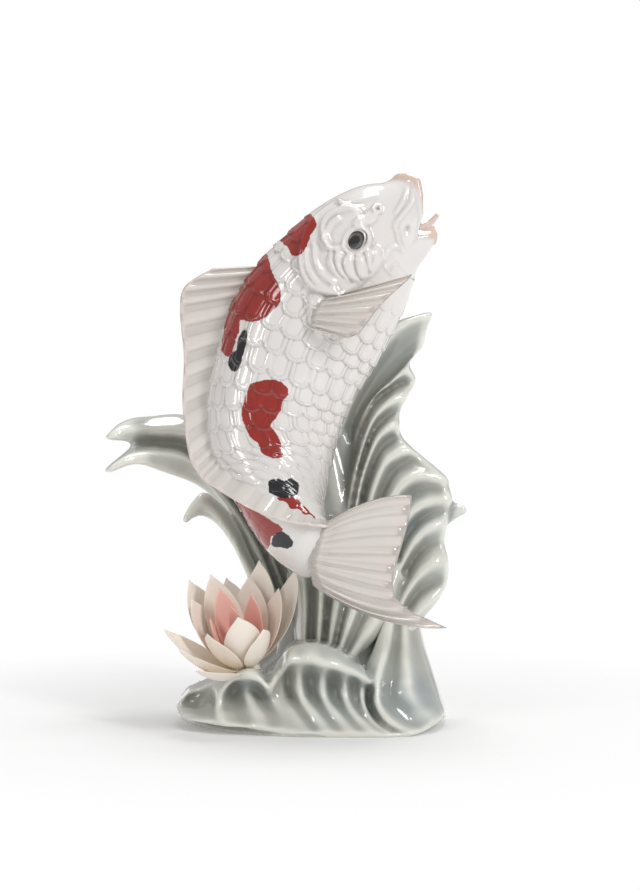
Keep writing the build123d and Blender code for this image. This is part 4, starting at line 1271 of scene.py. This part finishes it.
def net_skin(net, thickness):
    """A sheet of water through a net of places in the picture, fluted in front and plain behind."""
    front = np.array([[placed(x, y, -near * MM) for x, y, near in np.reshape(row, (-1, 3))] for row in net])
    beside = np.pad(front[:, :, 1], ((BACK_ROWS // 2, BACK_ROWS // 2), (0, 0)), "edge")
    back = front.copy()
    rearmost = np.max([beside[shift : shift + len(net)] for shift in range(BACK_ROWS)], axis=0)
    back[:, :, 1] = rearmost + thickness
    last_row, last_place = front.shape[0] - 1, front.shape[1] - 1

    def place(u, v):
        reach = 1 - np.abs(2 * v - 1)
        near = net_at(front, u * last_row, reach * last_place)
        far = net_at(back, u * last_row, reach * last_place)
        middle = (near + far) / 2
        ends = np.clip(np.minimum(u, 1 - u) / SHEET_END_SHARE, 0, 1)
        rounding = np.sqrt(np.clip((1 - reach) / SHEET_EDGE_SHARE, 0, 1) * ends)
        rounding = np.where(reach < SHEET_FOOT_SHARE, 0, rounding)
        return middle + (np.where(column(v) < 0.5, near, far) - middle) * column(rounding)

    return place


FLUTES = 11
FLUTE_SHARE = 0.045
# The flutes of a core set in over this share of its height, and turn by so many radians on their way up
FLUTE_EDGES = (0.0, 0.3)
FLUTE_TURN = 2
RING_END_SHARE = 0.05


def rings_skin(rings):
    """A closed skin through level rings, flat at its ends."""
    table = np.array(rings) * MM
    last = len(rings) - 1

    def place(u, v):
        share = np.clip((u - RING_END_SHARE) / (1 - 2 * RING_END_SHARE), 0, 1)
        height, x, y, half_x, half_y = curve_at(table, share * last).T
        closing = np.clip(np.minimum(u, 1 - u) / RING_END_SHARE, 0, 1)
        angle = 2 * pi * v
        turn = FLUTES * angle + FLUTE_TURN * share
        flute = 1 + FLUTE_SHARE * np.cos(turn) * smoothstep(*FLUTE_EDGES, share)
        across, along = half_x * closing * flute * np.cos(angle), half_y * closing * flute * np.sin(angle)
        return np.stack((x + across, y + along, height), -1)

    return place


def joined_water(name, skins, material):
    """One skin of water round several, softened, with a note at each point of how hollow it lies."""
    bm = bmesh.new()
    for columns, rows, place in skins:
        part = grid_piece(name, columns, rows, place, material)
        bm.from_mesh(part.data)
        bpy.data.objects.remove(part)
    mesh = bpy.data.meshes.new(name)
    bm.to_mesh(mesh)
    bm.free()
    piece = bpy.data.objects.new(name, mesh)
    bpy.context.collection.objects.link(piece)
    remesh = piece.modifiers.new("Join", "REMESH")
    remesh.mode = "VOXEL"
    remesh.voxel_size = sizes().water_voxel
    remesh.use_smooth_shade = True
    soften = piece.modifiers.new("Soften", "SMOOTH")
    soften.iterations = WATER_SOFTENINGS
    piece.update_tag()
    joined = piece.evaluated_get(bpy.context.evaluated_depsgraph_get())
    skin = bpy.data.meshes.new_from_object(joined)
    piece.modifiers.clear()
    piece.data = skin
    skin.materials.clear()
    skin.materials.append(material)
    points = mesh_points(piece)
    points[:, 2] = np.where(points[:, 2] < GROUND_LEVEL, 0.0, points[:, 2])
    skin.vertices.foreach_set("co", points.ravel())
    skin.update()
    note_hollows(piece, WATER_SPREADS, WATER_HOLLOW)
    return piece


class FIGURINE_OT_water(bpy.types.Operator):
    """Model the breaking wave and its foot, each joined into one skin"""

    bl_idname = "figurine.water"
    bl_label = "Water"

    def execute(self, context):
        material = wave_glaze()
        tongue = np.array([placed(x, y, depth * MM) for x, y, depth, _ in WAVE_TONGUE])
        halves = np.array([row[3] for row in WAVE_TONGUE]) * MM
        # Each skin with the columns and rows of its grid
        rising = (
            (260, 240, net_skin(RIGHT_WAVE_NET, WAVE_THICKNESS)),
            (110, 260, net_skin(UPPER_SPLASH_NET, SPLASH_THICKNESS)),
            (60, 260, net_skin(LOWER_SPLASH_NET, SPLASH_THICKNESS)),
            (150, 120, net_skin(STEM_NET, WAVE_THICKNESS)),
            (60, 64, rings_skin(TRUNK_RINGS)),
            (60, 48, rings_skin(REAR_RINGS)),
            (60, 28, tube_skin(tongue, halves, TONGUE_END_SHARE, TONGUE_DEPTH_SHARE)),
        )
        wave = joined_water("wave_glazed", rising, material)
        settle(wave, "wave_glaze", "right_wave", "left_splash", "rear_wave")
        foot = ((60, 96, rings_skin(MOUND_RINGS)), (300, 200, net_skin(MOUND_NET, MOUND_THICKNESS)))
        base = joined_water("wave_base_glazed", foot, material)
        settle(base, "wave_glaze", "wave_base")
        return {"FINISHED"}


LILY_CENTRE = np.array((-0.0362, -0.036, 0.0345))
LILY_AXIS = unit(np.array((-0.2, -0.25, 0.95)))
LILY_CUP_RADIUS = 9.0 * MM
PETAL_HALF_WIDTH = 11.3 * MM
# Rings of petals: name, slot, root and width shares, and the tips in shares of the lily's reach
PETAL_RINGS = (
    (
        "outer", "petal_ivory", 0.7, 1.0,
        (
            (-0.78, -0.14, 0.38), (-0.62, -0.48, 0.24), (-0.43, -0.62, 0.06), (-0.55, 0.24, 0.79),
            (-0.52, 0.03, 0.64), (0.12, 0.28, 0.98), (0.47, 0.20, 0.91), (-0.20, 0.50, 0.78),
        ),
    ),
    (
        "middle", "petal_ivory", 0.45, 0.95,
        (
            (-0.34, 0.14, 0.86), (0.31, 0.07, 0.74), (-0.07, -0.34, 0.52), (-0.36, -0.34, 0.36),
            (0.17, -0.31, 0.40), (0.02, 0.24, 0.83),
        ),
    ),
    (
        "inner", "petal_pink", 0.2, 0.7,
        ((-0.25, -0.03, 0.75), (-0.34, -0.14, 0.48), (0.05, 0.0, 0.69), (-0.14, -0.17, 0.60)),
    ),
)
PETAL_ROOT_TINT = (1.0, 0.94, 0.82)
PETAL_GRID = (48, 40)
PETAL_END_SHARE = 0.04
CUP_GRID = (24, 40)
CUP_FLATNESS = 0.8
CUP_DROP = 4.5 * MM
# From a petal's root to its tip: its width, the lift of its sides and its bow
PETAL_WIDTHS = (0.30, 0.58, 0.82, 0.97, 1.0, 0.94, 0.77, 0.46, 0.03)
PETAL_CUPS = (0.20, 0.30, 0.36, 0.38, 0.38, 0.34, 0.28, 0.16, 0.0)
PETAL_BOWS = (0.0, 0.06, 0.10, 0.125, 0.13, 0.115, 0.085, 0.045, 0.0)


def petal_skin(tip_shares, ring_share, width_share):
    size = sizes()
    tip = LILY_CENTRE + np.array(tip_shares) * size.lily_reach
    reach = tip - LILY_CENTRE
    outward = unit(reach - LILY_AXIS * (reach @ LILY_AXIS))
    root = LILY_CENTRE + outward * LILY_CUP_RADIUS * ring_share
    along = unit(tip - root)
    inward = unit(LILY_AXIS - along * (along @ LILY_AXIS))
    across = np.cross(along, inward)
    length = np.linalg.norm(tip - root)
    last = len(PETAL_WIDTHS) - 1

    def place(u, v):
        row = u * last
        half = curve_at(PETAL_WIDTHS, row) * PETAL_HALF_WIDTH * width_share
        cup, bow = curve_at(PETAL_CUPS, row), curve_at(PETAL_BOWS, row)
        side = np.cos(2 * pi * v)
        face = np.sin(2 * pi * v)
        ends = np.sqrt(np.clip(np.minimum(u, 1 - u) / PETAL_END_SHARE, 0, 1))
        wall = size.petal_thickness / 2 * face * ends
        lift = side**2 * cup * half - bow * length + wall
        return root + along * column(u * length) + across * column(side * half) + inward * column(lift)

    return place


class FIGURINE_OT_lily(bpy.types.Operator):
    """Model the water lily's petals in three rings round its cup"""

    bl_idname = "figurine.lily"
    bl_label = "Water lily"

    def execute(self, context):
        paint = paints()
        ivory = petal_bisque("petal_ivory", paint.ivory, tinted(paint.ivory, PETAL_ROOT_TINT))
        rose_tip = blended(paint.rose, paint.ivory, ROSE_TIP_SHARE)
        finishes = {"petal_ivory": ivory, "petal_pink": petal_bisque("petal_pink", rose_tip, paint.rose)}
        for ring, slot, ring_share, width_share, tips in PETAL_RINGS:
            for number, tip in enumerate(tips, 1):
                place = petal_skin(tip, ring_share, width_share)
                name = f"petal_{ring}_{number}"
                petal = grid_piece(name, *PETAL_GRID, place, finishes[slot])
                settle(petal, slot, f"lily_{name}")

        def cup(u, v):
            rise, angle = (u - 0.5) * pi, 2 * pi * v
            ball = np.stack((np.cos(rise) * np.cos(angle), np.cos(rise) * np.sin(angle), np.sin(rise)), -1)
            return LILY_CENTRE + ball * LILY_CUP_RADIUS * (1.0, 1.0, CUP_FLATNESS) - (0, 0, CUP_DROP)

        settle(grid_piece("lily_cup", *CUP_GRID, cup, ivory), "petal_ivory", "lily_receptacle")
        return {"FINISHED"}


FLOOR_REACH = 3.0
SHADOW_REACH = (0.10, 0.28)
PAPER_GLOW = 0.13
PAPER_GREY = 0.76
PAPER_ROUGHNESS = 0.9
WHITE = (1, 1, 1, 1)
LIGHT_TARGET = (0, 0, 0.14)
# The lights' names, places, sizes in metres and powers in watts
LIGHTS = (
    ("Key", (1.2, -1.2, 1.3), (0.3, 1.1), 17.0),
    ("Fill", (-1.3, -1.1, 1.0), (0.2, 0.9), 5.0),
    ("Top", (0.1, 0.5, 1.7), (0.8, 0.6), 13.0),
)
WORLD_LEVEL = 0.42


def mix_shaders(tree, sockets, output):
    """Sends a mix of two shaders to an output: the share first, then the shaders."""
    mix = tree.nodes.new("ShaderNodeMixShader")
    for source, socket in zip(sockets, mix.inputs):
        tree.links.new(source, socket)
    tree.links.new(mix.outputs[0], tree.nodes[output].inputs[0])


def floor_place(u, v):
    return np.stack(((u - 0.5) * 2 * FLOOR_REACH, (v - 0.5) * 2 * FLOOR_REACH, u * 0), -1)


class FIGURINE_OT_stage(bpy.types.Operator):
    """Set the floor, the soft studio light and the camera of the picture"""

    bl_idname = "figurine.stage"
    bl_label = "Studio"

    def execute(self, context):
        scene = context.scene
        floor = grid_piece("floor", 1, 1, floor_place, floor_material(), closed=False)

        world = bpy.data.worlds.new("studio")
        world.use_nodes = True
        tree = world.node_tree
        plain = tree.nodes["Background"]
        plain.inputs["Color"].default_value = WHITE
        plain.inputs["Strength"].default_value = WORLD_LEVEL
        bright = tree.nodes.new("ShaderNodeBackground")
        bright.inputs["Color"].default_value = WHITE
        path = tree.nodes.new("ShaderNodeLightPath")
        sockets = (path.outputs["Is Camera Ray"], plain.outputs[0], bright.outputs[0])
        mix_shaders(tree, sockets, "World Output")
        scene.world = world

        middle = Vector(LIGHT_TARGET)
        for name, place, size, power in LIGHTS:
            lamp = bpy.data.lights.new(name, "AREA")
            lamp.shape = "RECTANGLE"
            lamp.size, lamp.size_y = size
            lamp.energy = power
            light = bpy.data.objects.new(name, lamp)
            light.location = place
            light.rotation_euler = (middle - Vector(place)).to_track_quat("-Z", "Y").to_euler()
            scene.collection.objects.link(light)

        camera = bpy.data.objects.new("camera", bpy.data.cameras.new("camera"))
        camera.data.sensor_width = SENSOR_WIDTH
        camera.data.lens = VIEW_DISTANCE / PIXEL_SIZE / PICTURE_SIZE[1] * SENSOR_WIDTH
        away = Vector(VIEW_BACK)
        camera.location = VIEW_TARGET + away * VIEW_DISTANCE
        camera.rotation_euler = (-away).to_track_quat("-Z", "Y").to_euler()
        scene.collection.objects.link(camera)
        scene.camera = camera
        scene.view_settings.view_transform = "Standard"
        return {"FINISHED"}


def floor_material():
    """White paper that fades into the white backdrop away from the figurine."""
    shade = Shade("paper")
    shade.set("Base Color", colour((PAPER_GREY, PAPER_GREY, PAPER_GREY)))
    shade.set("Roughness", PAPER_ROUGHNESS)
    shade.set("Emission Color", WHITE)
    shade.set("Emission Strength", PAPER_GLOW)
    reach = shade.node("ShaderNodeVectorMath", {"operation": "LENGTH"}, {0: shade.place}, "Value")
    near, far = SHADOW_REACH
    fade = ((reach - near) / (far - near)).clamped()
    glow = shade.node("ShaderNodeEmission", {}, {"Color": WHITE})
    mix_shaders(shade.tree, (fade.socket, shade.shader.outputs[0], glow.socket), "Material Output")
    return shade.material


STEPS = (
    FIGURINE_OT_body, FIGURINE_OT_eyes, FIGURINE_OT_barbels, FIGURINE_OT_fins, FIGURINE_OT_water,
    FIGURINE_OT_lily, FIGURINE_OT_stage,
)


class FIGURINE_PT_panel(bpy.types.Panel):
    """The figurine's sizes, colours and building steps"""

    bl_idname = "FIGURINE_PT_panel"
    bl_label = "Leaping carp figurine"
    bl_space_type = "VIEW_3D"
    bl_region_type = "UI"
    bl_category = "Figurine"

    def draw(self, context):
        for group in (context.scene.figurine_sizes, context.scene.figurine_paints):
            for name in group.__annotations__:
                self.layout.prop(group, name)
        for step in STEPS:
            self.layout.operator(step.bl_idname)


CLASSES = (FigurineSizes, FigurinePaints) + STEPS + (FIGURINE_PT_panel,)


def register():
    for made in CLASSES:
        bpy.utils.register_class(made)
    bpy.types.Scene.figurine_sizes = bpy.props.PointerProperty(type=FigurineSizes)
    bpy.types.Scene.figurine_paints = bpy.props.PointerProperty(type=FigurinePaints)


def unregister():
    del bpy.types.Scene.figurine_paints
    del bpy.types.Scene.figurine_sizes
    for made in reversed(CLASSES):
        bpy.utils.unregister_class(made)


def main():
    register()
    for step in STEPS:
        family, name = step.bl_idname.split(".")
        getattr(getattr(bpy.ops, family), name)()


if __name__ == "__main__":
    main()
